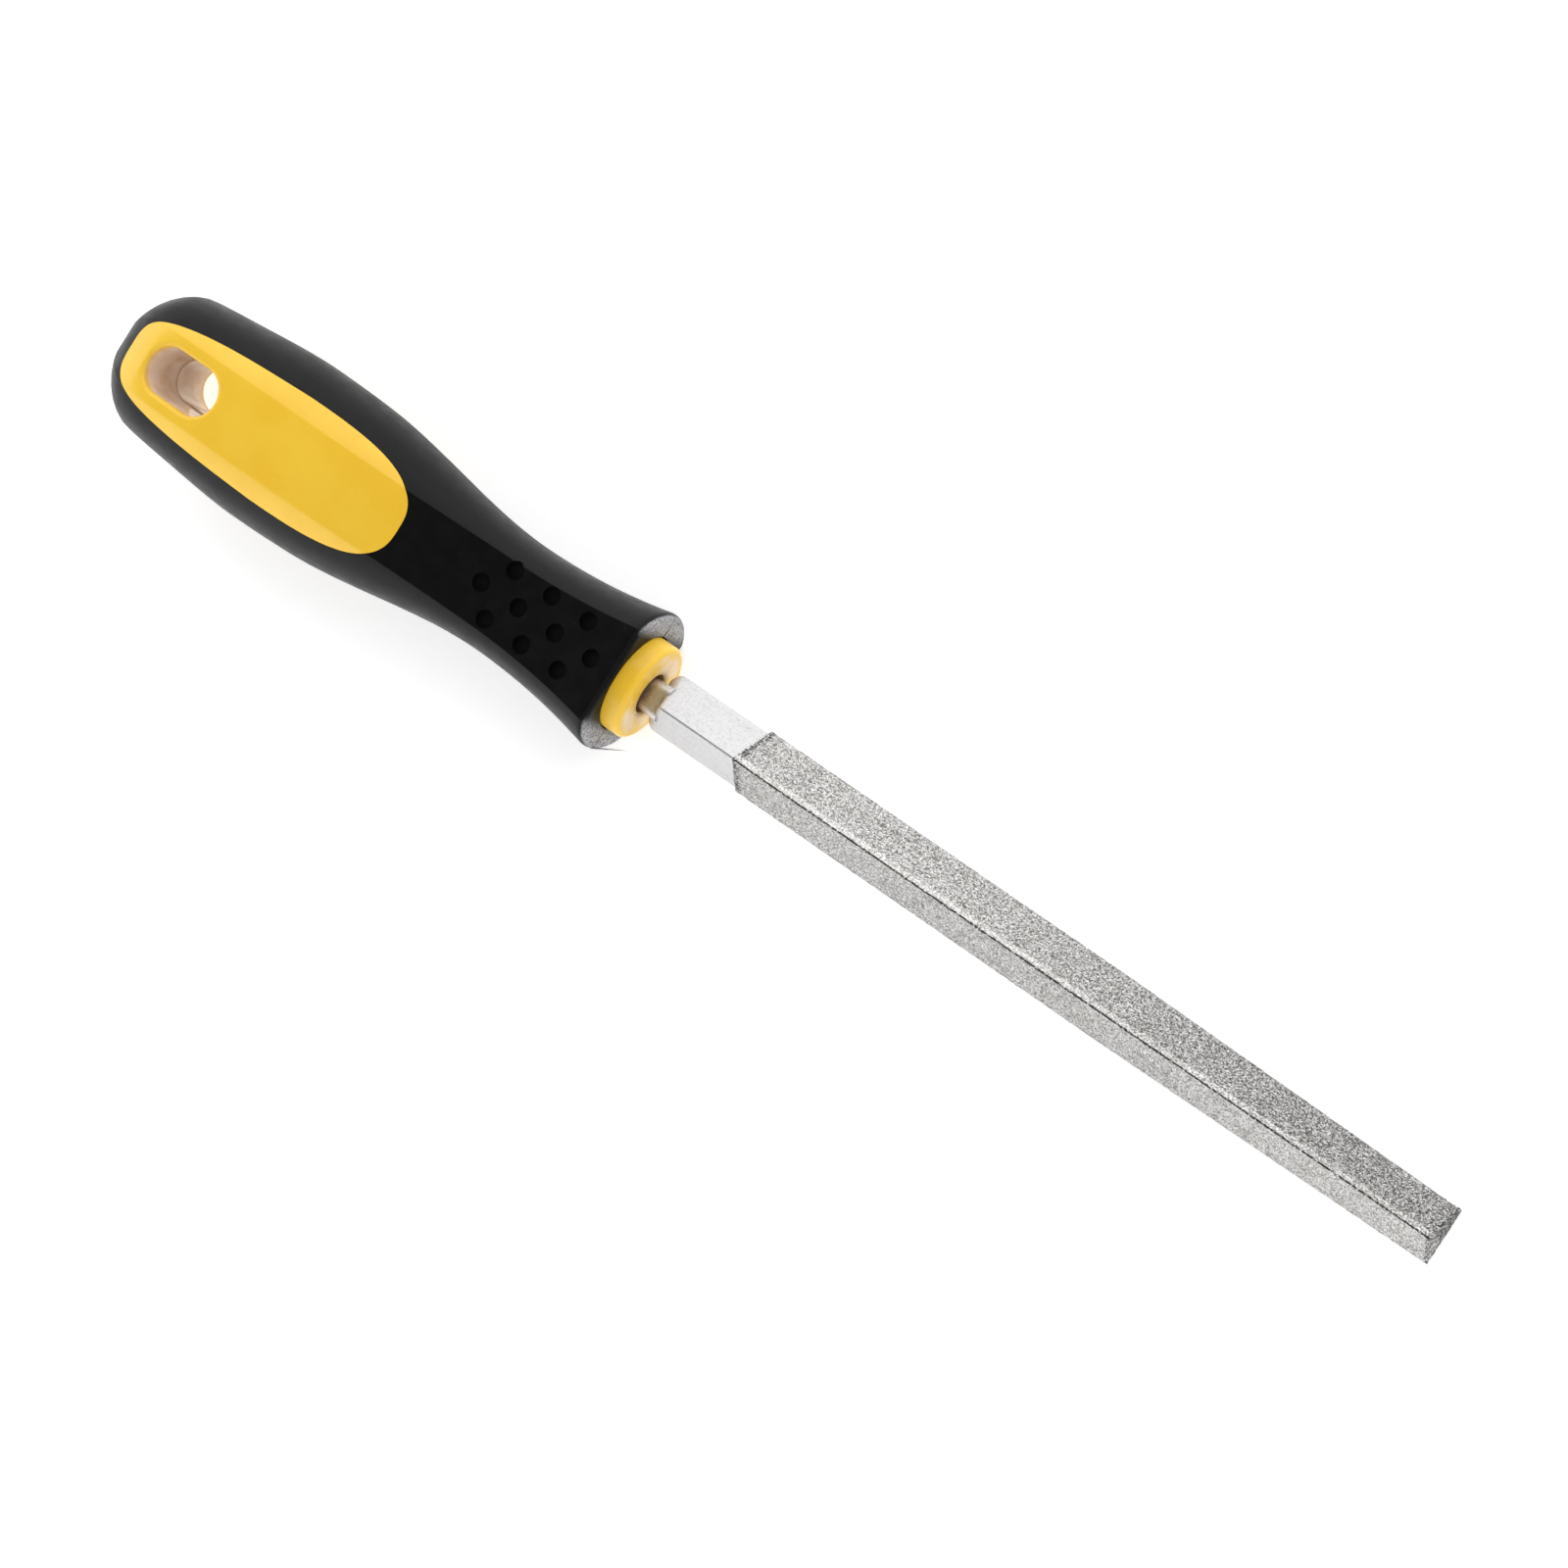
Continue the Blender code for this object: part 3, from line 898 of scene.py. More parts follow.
    def build_sleeve(self) -> None:
        """Grit sleeve with grains in its surface, replacing the coating."""
        grown = 2.0 * math.sqrt(3.0)
        inner_tip = self.tip + self.coat_gap
        inner_end = self.tip_side + grown * self.coat_gap
        piece = self.triangle("grit_sleeve", inner_tip, inner_end, self.edge_blunt, 3)
        with piece.open():
            piece.pick_edges(lambda a, b: (a - b).length > 2.0 * MM)
            bpy.ops.mesh.subdivide(number_cuts=self.coat_face_cuts)
            piece.pick(lambda place: True)
            bpy.ops.mesh.edge_face_add()
            piece.pick(lambda place: True)
            straight_end = self.tip - self.taper_length
            outer = grown * self.coat_proud
            stations = [
                (straight_end, self.side + grown * self.coat_gap),
                (self.coat_start, self.side + grown * self.coat_gap),
                (self.coat_start, self.side + outer),
            ]
            for low, high in ((self.coat_start, straight_end), (straight_end, self.coat_tip)):
                for part in (1, 2, 3):
                    place = low + (high - low) * part / 3.0
                    stations.append((place, self.side_at(place) + outer))
            x, side = inner_tip, inner_end
            bpy.ops.mesh.delete(type="ONLY_FACE")
            piece.pick(lambda place: True)
            for place, wanted in stations:
                piece.pull((place - x, 0.0, 0.0))
                piece.stretch((1.0, wanted / side, wanted / side))
                x, side = place, wanted
            for step in range(20, 0, -1):
                piece.pull((0.0, 0.0, 0.0))
                piece.stretch((1.0, (step - 1.0) / step, (step - 1.0) / step))
            piece.pick(lambda place: abs(place.x - inner_tip) < 0.001 * MM)
            piece.pull((0.0, 0.0, 0.0))
            piece.stretch((1.0, 0.0, 0.0))
            piece.weld()
            piece.face_out()
            self.cut_lengthwise(piece)
        self.roughen(piece)
        piece.roll(self.roll)
        piece.smooth(60.0)
        piece.finish(self.grit, "diamond_grit", "diamond_coating")

    def cut_lengthwise(self, piece: Workpiece) -> None:
        """Divide the long outer edges of the sleeve into short ones."""

        def outer_run(a: Vector, b: Vector) -> bool:
            """Whether an edge runs lengthwise along the outer surface."""
            return abs(a.x - b.x) > 5.0 * MM and self.outside(a) and self.outside(b)

        count = piece.pick_edges(outer_run)
        bpy.ops.mesh.subdivide(number_cuts=self.coat_length_cuts)
        LOG.info("sleeve: %d edges cut %d times", count, self.coat_length_cuts)

    def outside(self, place: Vector) -> bool:
        """Whether a place lies on the sleeve's outer surface and not its bore."""
        reach = self.face_distance(place) - self.side_at(place.x) / math.sqrt(12.0)
        return reach > self.coat_proud / 2.0

    def face_distance(self, place: Vector) -> float:
        """Distance from the axis to the bar's face that the place belongs to."""
        slant = math.sqrt(3.0) / 2.0
        return max(-place.z, slant * abs(place.y) + place.z / 2.0)

    def roughen(self, piece: Workpiece) -> None:
        """Raise grains on the outer surface and make the rear edge ragged."""
        item = piece.item
        grains = item.vertex_groups.new(name="grains")
        edge = item.vertex_groups.new(name="rear_edge")
        outer = [
            vertex.index
            for vertex in item.data.vertices
            if self.outside(vertex.co) or vertex.co.x > self.tip + 0.2 * MM
        ]
        grains.add(outer, 1.0, "REPLACE")
        rear = [v.index for v in item.data.vertices if v.co.x < self.coat_start + 0.01 * MM]
        edge.add(rear, 1.0, "REPLACE")
        ends = item.vertex_groups.new(name="ends")
        for vertex in item.data.vertices:
            x = vertex.co.x
            from_end = min(self.coat_tip - x, x - self.coat_start + self.end_reach / 2.0)
            if self.outside(vertex.co) and 0.02 * MM < self.coat_tip - x and x > self.coat_start:
                share = 1.0 - from_end / self.end_reach
                if share > 0.0:
                    ends.add([vertex.index], min(share, 1.0), "REPLACE")
        self.displace(piece, "CLOUDS", 1.1 * MM, 0.9 * MM, 0.40, "ends", "NORMAL")
        self.displace(piece, "VORONOI", 0.34 * MM, -0.14 * MM, 0.0, "grains", "NORMAL")
        self.displace(piece, "CLOUDS", 0.26 * MM, 0.08 * MM, 1.0, "grains", "NORMAL")
        self.displace(piece, "CLOUDS", 0.45 * MM, -0.9 * MM, 0.15, "rear_edge", "X")

    def displace(
        self,
        piece: Workpiece,
        kind: str,
        grain: float,
        depth: float,
        level: float,
        group: str,
        direction: str,
    ) -> None:
        """Move part of a surface by a texture.

        Args:
            piece: The piece.
            kind: Type of the texture.
            grain: Size of its features.
            depth: How far it moves the surface.
            level: Value of the texture that stays still.
            group: Vertex group that is moved.
            direction: The way it moves.
        """
        texture = bpy.data.textures.new(f"{group}_{kind.lower()}", kind)
        texture.noise_scale = grain
        piece.modify(
            "DISPLACE",
            texture=texture,
            texture_coords="LOCAL",
            strength=depth,
            mid_level=level,
            vertex_group=group,
            direction=direction,
        )


# ------------------------------------------------------------------------ handle
@dataclass(frozen=True)
class Section:
    """Half sizes of the handle's cross-section at a distance from its front face."""

    from_front: float
    half_width: float
    half_height: float
    half_flat: float


@dataclass
class HandleForm:
    """Outer form that the core and both halves of the grip share."""

    sections: tuple[Section, ...] = (
        Section(104.35 * MM, 11.22 * MM, 11.4 * MM, 5.6 * MM),
        Section(87.4 * MM, 13.2 * MM, 12.7 * MM, 5.9 * MM),
        Section(71.7 * MM, 14.36 * MM, 12.99 * MM, 5.9 * MM),
        Section(61.1 * MM, 14.1 * MM, 12.99 * MM, 5.9 * MM),
        Section(24.9 * MM, 9.7 * MM, 8.7 * MM, 6.1 * MM),
        Section(0.0, 12.68 * MM, 10.08 * MM, 8.5 * MM),
    )
    butt_round: float = 13.75 * MM
    side_round: float = 9.2 * MM
    side_power: float = 1.93
    top_power: float = 2.0
    rim_round: float = 1.2 * MM
    rim_steps: int = 6
    crease: float = math.radians(22.0)
    spacing: float = 1.7 * MM
    butt: float = field(init=False)
    front: float = field(init=False)
    width: SmoothCurve = field(init=False)
    height: SmoothCurve = field(init=False)
    flat: SmoothCurve = field(init=False)

    def __post_init__(self) -> None:
        """Place the sections between the butt and the front face."""
        low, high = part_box("grip_shell_upper")
        self.front = high[0]
        self.butt = low[0]
        places = [self.front - section.from_front for section in self.sections]
        places[0] = self.butt
        self.width = SmoothCurve(places, [s.half_width for s in self.sections])
        self.height = SmoothCurve(places, [s.half_height for s in self.sections])
        self.flat = SmoothCurve(places, [s.half_flat for s in self.sections])

    def closing(self, x: float, inset: float) -> tuple[float, float]:
        """Shares of the width and height that are left near the butt."""
        shares = []
        closings = ((self.side_round, self.side_power), (self.butt_round, self.top_power))
        for length, power in closings:
            depth = max(0.0, self.butt + length - x) / (length - inset)
            shares.append((1.0 - min(depth, 1.0) ** power) ** (1.0 / power))
        return shares[0], shares[1]

    def top_at(self, x: float) -> float:
        """Height of the flat above the axis."""
        return self.height.at(x) * self.closing(x, 0.0)[1]

    def side_of(self, x: float, inset: float = 0.0) -> float:
        """Half width at the parting plane."""
        return (self.width.at(x) - inset) * self.closing(x, inset)[0]

    def arc(self, x: float, inset: float) -> tuple[float, float, float]:
        """Centre, reach and rise of the convex side of the section at x."""
        side, top = self.closing(x, inset)
        half_width = (self.width.at(x) - inset) * side
        half_flat = (self.flat.at(x) - inset / 2.0) * side
        reach = (half_width - half_flat) / (1.0 - math.sin(self.crease))
        rise = (self.height.at(x) - inset) * top / math.cos(self.crease)
        return half_width - reach, reach, rise

    def stations(self, inset: float, front: float, fine: bool) -> list[tuple[float, float]]:
        """Places and insets of the rings, from the front to the butt.

        Args:
            inset: How far inside the outer form they lie.
            front: Where they start.
            fine: Whether the front rim is rounded and the rings lie close.

        Returns:
            A place along the axis and an inset for each ring.
        """
        rings = []
        if fine:
            for step in range(self.rim_steps, 0, -1):
                angle = math.pi / 2.0 * step / self.rim_steps
                x = front + self.rim_round * (math.sin(angle) - 1.0)
                rings.append((x, inset + self.rim_round * (1.0 - math.cos(angle))))
            front -= self.rim_round
        cap_start = self.butt + self.butt_round
        count = math.ceil((front - cap_start) / (self.spacing if fine else 4.0 * self.spacing))
        for step in range(count):
            rings.append((front + (cap_start - front) * step / count, inset))
        angles = (0, 8, 16, 24, 31, 38, 45, 52, 59, 65, 71, 76, 80, 83.5, 86, 87.7, 88.9)
        for angle in angles if fine else angles[::3]:
            depth = (self.butt_round - inset) * math.sin(math.radians(angle))
            rings.append((cap_start - depth, inset))
        return rings

    def body(self, name: str, inset: float, front: float, fine: bool) -> Workpiece:
        """Closed body of the handle, drawn ring by ring as a quarter and mirrored.

        Args:
            name: Name of the piece.
            inset: How far it lies inside the outer form.
            front: Where its front face stands.
            fine: Whether it is a finished surface or only a cavity.

        Returns:
            The body.
        """
        piece = ring(name, 180 if fine else 90, 1.0, (0.0, 0.0, 0.0), (0.0, math.pi / 2.0, 0.0))
        level = math.cos(self.crease)
        rings = self.stations(inset, front, fine)
        with piece.open():
            piece.pick(lambda p: p.y < -1e-4 or p.z < -1e-4 or p.z > level + 1e-4)
            bpy.ops.mesh.delete(type="VERT")
            piece.pick(lambda p: True)
            x, centre, reach, rise = 0.0, 0.0, 1.0, 1.0
            for index, (place, depth) in enumerate(rings):
                new_centre, new_reach, new_rise = self.arc(place, depth)
                by = (place - x, new_centre - centre, 0.0)
                if index:
                    piece.pull(by)
                else:
                    piece.shift(by)
                about = (place, new_centre, 0.0)
                piece.stretch((1.0, new_reach / reach, new_rise / rise), about)
                x, centre, reach, rise = place, new_centre, new_reach, new_rise
            piece.pull((self.butt + inset - x, 0.0, 0.0))
            piece.stretch((1.0, 0.0, 0.0), (self.butt + inset, 0.0, 0.0))
            heights = {round(p, 7): self.arc(p, d)[2] * level for p, d in rings}
            pole = self.butt + inset
            piece.pick(lambda p: p.x < pole + 2e-7 or self.on_crease(p, heights))
            piece.pull((0.0, 0.0, 0.0))
            piece.stretch((1.0, 0.0, 1.0))
            piece.pick(lambda p: p.x > front - 0.001 * MM)
            piece.pull((0.0, 0.0, 0.0))
            piece.stretch((1.0, 0.0, 0.0), (front, 0.0, 0.0))
            piece.weld()
        piece.modify("MIRROR", use_axis=(False, True, True), merge_threshold=0.002 * MM)
        with piece.open():
            piece.weld()
            bpy.ops.mesh.dissolve_degenerate(threshold=0.001 * MM)
            piece.face_out()
        return piece

    def on_crease(self, place: Vector, heights: dict[float, float]) -> bool:
        """Whether a place lies on the edge between the side and the flat."""
        for x, height in heights.items():
            if abs(place.x - x) < 1e-6:
                return abs(place.z - height) < 0.004 * height
        return False


@dataclass
class PadOutline:
    """Plan outline of the grip pads, longer and tapered behind its widest place."""

    form: HandleForm
    from_butt: float = 4.85 * MM
    from_front: float = 43.0 * MM
    widest_from_butt: float = 36.85 * MM
    half_width: float = 9.46 * MM
    rear_taper: float = 0.125
    front_power: float = 2.9
    rear_power: float = 3.4
    points: int = 144
    reach: float = 20.0 * MM

    def prism(self, name: str, growth: float) -> Workpiece:
        """Upright body with this outline, cut through the whole handle.

        Args:
            name: Name of the piece.
            growth: How much the outline is grown all round.

        Returns:
            The body.
        """
        turn = (0.0, 0.0, math.pi / 2.0)
        piece = ring(name, self.points, 1.0, (0.0, 0.0, -self.reach), turn)
        widest = self.form.butt + self.widest_from_butt
        ahead = self.form.front - self.from_front - widest + growth
        behind = self.widest_from_butt - self.from_butt + growth
        with piece.open():
            for step in range(self.points // 2 + 1):
                angle = math.tau * step / self.points
                along, across = math.cos(angle), math.sin(angle)
                power = self.front_power if along > 0.0 else self.rear_power
                reached = abs(along) ** (2.0 / power)
                x = widest + (ahead if along > 0.0 else -behind) * reached
                taper = 1.0 if along > 0.0 else 1.0 - self.rear_taper * reached
                width = (self.half_width + growth) * max(across, 0.0) ** (2.0 / power) * taper
                piece.pick(lambda p: abs(p.x - along) < 1e-5 and abs(p.y) > across - 1e-4)
                piece.stretch((1.0, width / max(across, 1e-9), 1.0))
                piece.shift((x - along + 10.0, 0.0, 0.0))
            piece.pick(lambda p: True)
            piece.shift((-10.0, 0.0, 0.0))
            bpy.ops.mesh.edge_face_add()
            piece.pull((0.0, 0.0, 2.0 * self.reach))
            piece.face_out()
        return piece


@dataclass
class YellowCore:
    """Hard yellow core: two grip pads, hang-hole eye, spine and collar."""

    form: HandleForm
    outline: PadOutline
    blade: Blade
    plastic: bpy.types.Material
    hole_length: float = 14.1 * MM
    hole_width: float = 8.3 * MM
    hole_from_butt: float = 16.95 * MM
    hole_draft: float = 0.30 * MM
    hole_rim: float = 0.75 * MM
    hole_reach: float = 20.0 * MM
    seam_half: float = 0.35 * MM
    seam_proud: float = 0.22 * MM
    spine_radius: float = 5.0 * MM
    collar_radius: float = 8.28 * MM
    collar_round: float = 0.9 * MM
    collar_rear: float = 3.0 * MM
    bore_depth: float = 5.0 * MM
    bore_radius: float = 3.41 * MM
    bore_round: float = 0.45 * MM
    turn_steps: int = 96

    def build(self, body: Workpiece) -> None:
        """Build the core from the full body of the handle."""
        piece = body.twin("yellow_core")
        piece.meet(self.outline.prism("pad_prism", 0.0), Join.KEEP)
        piece.meet(self.hole(), Join.CUT)
        self.round_hole_rim(piece)
        piece.meet(self.spine(), Join.ADD)
        piece.meet(self.collar(), Join.ADD)
        piece.meet(self.blade.tang("tang_socket", 0.3 * MM, -0.5 * MM), Join.CUT)
        piece.smooth(30.0)
        piece.finish(self.plastic, "yellow_plastic", "handle_core")

    def hole(self) -> Workpiece:
        """Cutter for the hang hole: half-round ends, drafted from both faces."""
        radius = self.hole_width / 2.0
        straight = self.hole_length / 2.0 - radius
        eye = self.form.butt + self.hole_from_butt
        half_step = math.pi / 96.0
        piece = ring("hang_hole", 96, radius, (eye, 0.0, -self.hole_reach), (0.0, 0.0, half_step))
        draft = self.hole_draft * self.hole_reach / self.form.top_at(eye)
        wide = (radius - self.hole_draft + draft) / radius
        narrow = (radius - self.hole_draft) / radius
        with piece.open():
            piece.pick(lambda p: True)
            now = 1.0
            slim = narrow - self.seam_proud / radius
            reach = self.hole_reach - self.seam_half
            levels = ((0.0, wide), (reach, narrow), (self.seam_half, slim))
            levels += ((self.seam_half, narrow), (reach, wide))
            for rise, scale in levels:
                if rise:
                    piece.pull((0.0, 0.0, rise))
                piece.stretch((scale / now, scale / now, 1.0), (eye, 0.0, 0.0))
                now = scale
            piece.pick(lambda p: p.x > eye)
            piece.shift((straight, 0.0, 0.0))
            piece.pick(lambda p: p.x < eye)
            piece.shift((-straight, 0.0, 0.0))
            for level in (-self.hole_reach, self.hole_reach):
                piece.pick(lambda p: abs(p.z - level) < 0.01 * MM)
                bpy.ops.mesh.edge_face_add()
            piece.face_out()
        return piece

    def round_hole_rim(self, piece: Workpiece) -> None:
        """Round the mouth of the hang hole on both pads."""
        radius = self.hole_width / 2.0
        straight = self.hole_length / 2.0 - radius
        eye = self.form.butt + self.hole_from_butt

        def on_rim(place: Vector) -> bool:
            """Whether a place lies on the mouth of the hole."""
            beyond = max(0.0, abs(place.x - eye) - straight)
            if abs(math.hypot(beyond, place.y) - radius) > 0.12 * MM:
                return False
            return abs(abs(place.z) - self.form.top_at(place.x)) < 0.05 * MM

        with piece.open():
            count = piece.pick_edges(lambda a, b: on_rim(a) and on_rim(b))
            LOG.info("rim of the hang hole: %d edges", count)
            bpy.ops.mesh.bevel(
                offset=self.hole_rim, segments=5, affect="EDGES", clamp_overlap=False
            )

    def spine(self) -> Workpiece:
        """Round bar that joins the pads to the collar inside the grip."""
        rear = self.form.front - self.outline.from_front - 4.0 * MM
        middle = (rear + self.form.front - 1.0 * MM) / 2.0
        bpy.ops.object.select_all(action="DESELECT")
        bpy.ops.mesh.primitive_cylinder_add(
            vertices=48,
            radius=self.spine_radius,
            depth=2.0 * (middle - rear),
            location=(middle, 0.0, 0.0),
            rotation=(0.0, math.pi / 2.0, 0.0),
        )
        piece = Workpiece("spine")
        with piece.open():
            piece.pick(lambda p: p.x < rear + 1.0 * MM)
            piece.stretch((1.0, 1.15, 1.15))
        return piece

    def collar(self) -> Workpiece:
        """Collar turned round the axis, with its mouth for the tang."""
        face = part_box("handle_core")[1][0]
        rear = self.form.front - self.collar_rear
        floor = face - self.bore_depth
        trace = (
            (rear, 0.0),
            (rear, self.collar_radius),
            (face, self.collar_radius),
            (face, self.bore_radius),
            (floor, self.bore_radius),
            (floor, 0.0),
        )
        bpy.ops.object.select_all(action="DESELECT")
        bpy.ops.mesh.primitive_plane_add(size=1.0 * MM, location=(rear, 0.0, 0.0))
        piece = Workpiece("collar")
        with piece.open():
            piece.pick(lambda p: True)
            bpy.ops.mesh.merge(type="CENTER")
            piece.pick(lambda p: True)
            for (x, radius), (next_x, next_radius) in zip(trace, trace[1:]):
                piece.pull((next_x - x, next_radius - radius, 0.0))
            outer = self.collar_radius - 0.1 * MM
            piece.pick(lambda p: p.x > face - 0.1 * MM and p.y > outer)
            bpy.ops.mesh.bevel(offset=self.collar_round, segments=7, affect="VERTICES")
            mouth = self.bore_radius + 0.1 * MM
            piece.pick(lambda p: p.x > face - 0.1 * MM and p.y < mouth)
            bpy.ops.mesh.bevel(offset=self.bore_round, segments=4, affect="VERTICES")
            piece.pick(lambda p: True)
            bpy.ops.mesh.spin(
                steps=self.turn_steps,
                angle=math.tau,
                center=(0.0, 0.0, 0.0),
                axis=(1.0, 0.0, 0.0),
            )
            piece.weld()
            piece.face_out()
        return piece


@dataclass
class Grip:
    """Black grip in two halves, with raised dots on the flats of its neck."""

    form: HandleForm
    outline: PadOutline
    plastic: bpy.types.Material
    wall: float = 2.4 * MM
    front_wall: float = 3.0 * MM
    window_gap: float = 0.05 * MM
    collar_hole: float = 8.55 * MM
    parting: float = 0.10 * MM
    parting_edge: float = 0.16 * MM
    dot_radius: float = 1.45 * MM
    dot_proud: float = 0.3 * MM
    dot_depth: float = 1.2 * MM
    dot_edge: float = 0.28 * MM
    dot_pitch: float = 7.53 * MM
    dot_row_spacing: float = 4.5 * MM
    dots_from_front: float = 4.7 * MM
    dots_across: float = 0.4 * MM
    middle_row: int = 4
    wide_notch: tuple[float, float] = (0.34 * MM, 2.2 * MM)
    slim_notch: tuple[float, float] = (0.15 * MM, 0.8 * MM)

    def build(self, body: Workpiece) -> None:
        """Build both halves from the full body of the handle."""
        whole = body.twin("grip_whole")
        cavity = self.form.body("cavity", self.wall, self.form.front - self.front_wall, False)
        whole.meet(cavity, Join.CUT)
        whole.meet(self.outline.prism("window_prism", self.window_gap), Join.CUT)
        whole.meet(self.collar_seat(), Join.CUT)
        whole.meet(self.notch("wide_notch", 1.0, *self.wide_notch), Join.CUT)
        whole.meet(self.notch("slim_notch", -1.0, *self.slim_notch), Join.CUT)
        for half in Half:
            self.build_half(whole, half)
        whole.scrap()

    def collar_seat(self) -> Workpiece:
        """Round cutter for the hole that the collar passes through."""
        bpy.ops.object.select_all(action="DESELECT")
        bpy.ops.mesh.primitive_cylinder_add(
            vertices=96,
            radius=self.collar_hole,
            depth=20.0 * MM,
            location=(self.form.front + 10.0 * MM - self.front_wall - 0.3 * MM, 0.0, 0.0),
            rotation=(0.0, math.pi / 2.0, 0.0),
        )
        piece = Workpiece("collar_seat")
        return piece

    def notch(self, name: str, way: float, half_gap: float, depth: float) -> Workpiece:
        """Cutter that opens the parting line on the front face.

        Args:
            name: Name of the cutter.
            way: 1 on the +Y side and -1 on the other.
            half_gap: Half of its height at the collar.
            depth: How deep it goes into the face.

        Returns:
            The wedge, slimmer towards the outside.
        """
        reach = (self.collar_hole - 0.6 * MM, self.form.side_of(self.form.front) + 1.0 * MM)
        low, high = sorted(way * y for y in reach)
        front = self.form.front
        piece = block(name, (front - depth, low, -half_gap), (front + depth, high, half_gap))
        with piece.open():
            piece.pick(lambda place: abs(place.y) > self.collar_hole)
            piece.stretch((1.0, 1.0, 0.25))
            piece.pick(lambda place: place.x < front)
            piece.stretch((1.0, 1.0, 0.5))
        return piece

    def build_half(self, whole: Workpiece, half: Half) -> None:
        """Cut one half out of the grip, soften its parting edge and add its dots."""
        side = half.value
        name = f"{half.name.lower()}_grip_half"
        piece = whole.twin(name)
        reach = 30.0 * MM
        levels = sorted((side * self.parting / 2.0, -side * reach))
        low = (self.form.butt - reach, -reach, levels[0])
        high = (self.form.front + reach, reach, levels[1])
        piece.meet(block("other_half", low, high), Join.CUT)
        self.soften_parting(piece, side)
        piece.meet(self.dots(side), Join.ADD)
        piece.smooth(26.0)
        piece.finish(self.plastic, "black_plastic", f"grip_shell_{half.name.lower()}")

    def soften_parting(self, piece: Workpiece, side: int) -> None:
        """Round the outer edges along the parting plane."""
        level = side * self.parting / 2.0

        def outer(place: Vector) -> bool:
            """Whether a place lies on the outer line of the parting plane."""
            if abs(place.z - level) > 0.002 * MM:
                return False
            if place.x > self.form.front - 0.002 * MM:
                return abs(place.y) > self.collar_hole - 0.01 * MM
            if place.x < self.form.butt + 1.0 * MM:
                return place.x > self.form.butt + 0.015 * MM
            return abs(place.y) > self.form.side_of(place.x, 1.0 * MM)

        with piece.open():
            count = piece.pick_edges(lambda a, b: outer(a) and outer(b))
            LOG.info("%s: %d parting edges", piece.item.name, count)
            bpy.ops.mesh.bevel(
                offset=self.parting_edge, segments=3, affect="EDGES", clamp_overlap=False
            )

    def dots(self, side: int) -> Workpiece:
        """Ten raised dots in three staggered rows on one flat."""
        made = []
        for row in (-1, 0, 1):
            for index in range(self.middle_row - abs(row)):
                x = self.form.front - self.dots_from_front
                x -= self.dot_pitch * (index + abs(row) / 2.0)
                y = self.dots_across + row * self.dot_row_spacing
                made.append(self.dot(x, y, side))
        made[0].absorb(made[1:])
        return made[0]

    def dot(self, x: float, y: float, side: int) -> Workpiece:
        """One raised dot, drafted and rounded at its top, square to the flat."""
        step = 0.5 * MM
        slope = (self.form.top_at(x + step) - self.form.top_at(x - step)) / (2.0 * step)
        tilt = -math.atan(slope) * side
        turn = tilt if side > 0 else tilt + math.pi
        offset = self.dot_proud - self.dot_depth / 2.0
        bpy.ops.object.select_all(action="DESELECT")
        bpy.ops.mesh.primitive_cone_add(
            vertices=32,
            radius1=self.dot_radius + 0.35 * self.dot_depth,
            radius2=self.dot_radius - 0.05 * MM,
            depth=self.dot_depth,
            location=(x, y, side * (self.form.top_at(x) + offset)),
            rotation=(0.0, turn, 0.0),
        )
        piece = Workpiece("dot")
        with piece.open():
            top = side * (self.form.top_at(x) + self.dot_proud / 2.0)
            piece.pick_edges(lambda a, b: a.z * side > top * side and b.z * side > top * side)
            bpy.ops.mesh.bevel(offset=self.dot_edge, segments=4, affect="EDGES")
        return piece


# ------------------------------------------------------------------------ studio
@dataclass(frozen=True)
class Gap:
    """Dark place in the tent: its heading, angles in degrees and the light left."""

    heading: Place
    inner: float
    outer: float
    left: float


class SkyBook(ShaderBook):
    """The nodes of the surroundings."""

    def __init__(self, name: str) -> None:
        """Start a world with a bare background."""
        world = bpy.data.worlds.new(name)
        world.use_nodes = True
        bpy.context.scene.world = world
        self.tree = world.node_tree
        self.shader = self.tree.nodes["Background"]


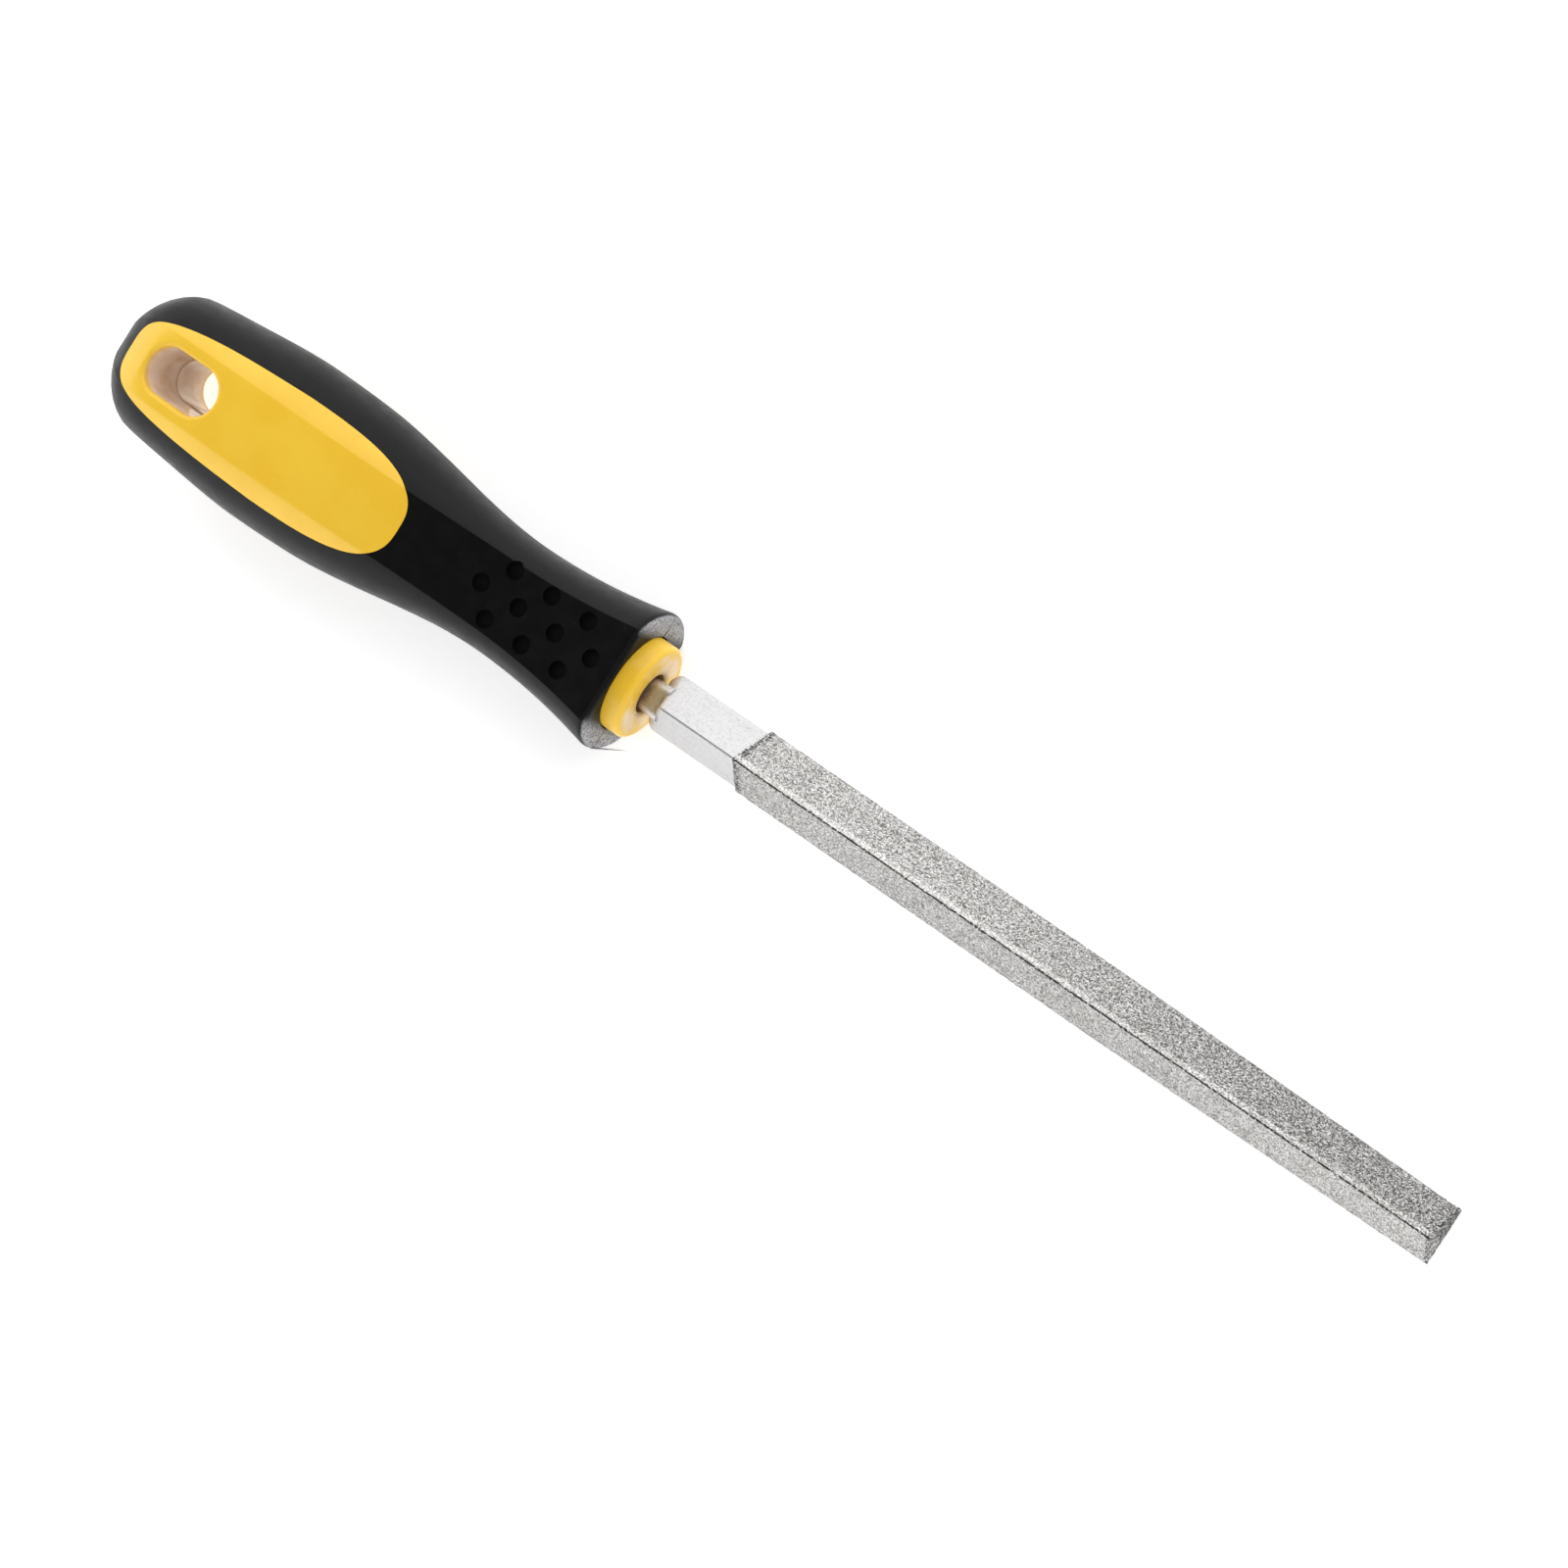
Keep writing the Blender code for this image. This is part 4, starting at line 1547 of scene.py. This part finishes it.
@dataclass
class Studio:
    """Pale floor, a white tent with a dark opening overhead, and the camera."""

    floor: bpy.types.Material
    camera_place: Place = (0.349995, 0.11620, 1.01634)
    camera_axis: Place = (0.32011, 0.10736, 0.94128)
    camera_roll: float = math.radians(34.56)
    lens: float = 160.4
    tent_strength: float = 2.25
    gaps: tuple[Gap, ...] = (
        Gap((-0.30, -0.10, 0.95), 26.0, 52.0, 0.03),
        Gap((0.90, 0.0, 0.44), 22.0, 48.0, 0.15),
    )
    rest_x: float = -87.0 * MM
    tip_depth: float = 2.87 * MM
    floor_size: float = 6.0

    def build(self) -> None:
        """Set up the whole studio."""
        self.lay_floor()
        self.hang_tent()
        self.set_camera()
        bpy.context.scene.view_settings.view_transform = "Standard"

    def lay_floor(self) -> None:
        """Floor that the lower pad and the blade's tip rest on."""
        bpy.ops.object.select_all(action="DESELECT")
        bpy.ops.mesh.primitive_plane_add(size=self.floor_size)
        floor = bpy.context.active_object
        floor.name = "floor"
        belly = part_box("handle_core")[0][2]
        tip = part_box("diamond_coating")[1][0]
        slope = (-self.tip_depth - belly) / (tip - self.rest_x)
        floor.rotation_euler = (0.0, -math.atan(slope), 0.0)
        floor.location = (self.rest_x, 0.0, belly - 0.05 * MM)
        floor.data.materials.append(self.floor)

    def hang_tent(self) -> None:
        """White surroundings, dark overhead and low ahead of the tip."""
        sky = SkyBook("tent")
        way = sky.node("ShaderNodeTexCoord", {}, out="Generated")
        light = self.tent_strength
        for gap in self.gaps:
            heading = tuple(Vector(gap.heading).normalized())
            facing = sky.node(
                "ShaderNodeVectorMath", {"operation": "DOT_PRODUCT"}, way, heading, out="Value"
            )
            light = light * facing.clamped(
                math.cos(math.radians(gap.outer)),
                math.cos(math.radians(gap.inner)),
                (1.0, gap.left),
            )
        sky.feed(sky.shader.inputs["Color"], (1.0, 1.0, 1.0))
        sky.feed(sky.shader.inputs["Strength"], light)

    def set_camera(self) -> None:
        """Long lens looking down on the file from ahead of its middle."""
        data = bpy.data.cameras.new("camera")
        camera = bpy.data.objects.new("camera", data)
        bpy.context.scene.collection.objects.link(camera)
        back = Vector(self.camera_axis).normalized()
        along = Vector((1.0, 0.0, 0.0))
        level = (along - along.dot(back) * back).normalized()
        across = back.cross(level)
        turn, lift = math.cos(self.camera_roll), math.sin(self.camera_roll)
        right = turn * level + lift * across
        up = -lift * level + turn * across
        basis = Matrix((right, up, back)).transposed()
        camera.matrix_world = Matrix.Translation(self.camera_place) @ basis.to_4x4()
        data.lens = self.lens
        data.sensor_width = 36.0
        data.clip_end = 20.0
        bpy.context.scene.camera = camera


def main() -> None:
    """Build and dress every piece."""
    logging.basicConfig(level=logging.INFO, format="%(message)s")
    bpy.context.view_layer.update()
    Studio(PaleFloor().make()).build()

    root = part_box("file_blank")[0][0] + Blade.tang_length
    coat_low, coat_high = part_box("diamond_coating")
    ridge = -coat_high[2] * math.sin(Blade.roll)
    grit = DiamondGrit(coat_low[0], coat_high[0], ridge)
    blade = Blade(SatinSteel(root).make(), grit.make())
    blade.build_bar()
    blade.build_sleeve()

    form = HandleForm()
    outline = PadOutline(form)
    body = form.body("handle_body", 0.0, form.front, True)
    eye = form.butt + YellowCore.hole_from_butt
    yellow = YellowPlastic(eye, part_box("handle_core")[1][0])
    YellowCore(form, outline, blade, yellow.make()).build(body)
    Grip(form, outline, BlackPlastic(form.front).make()).build(body)
    body.scrap()


if __name__ == "__main__":
    main()
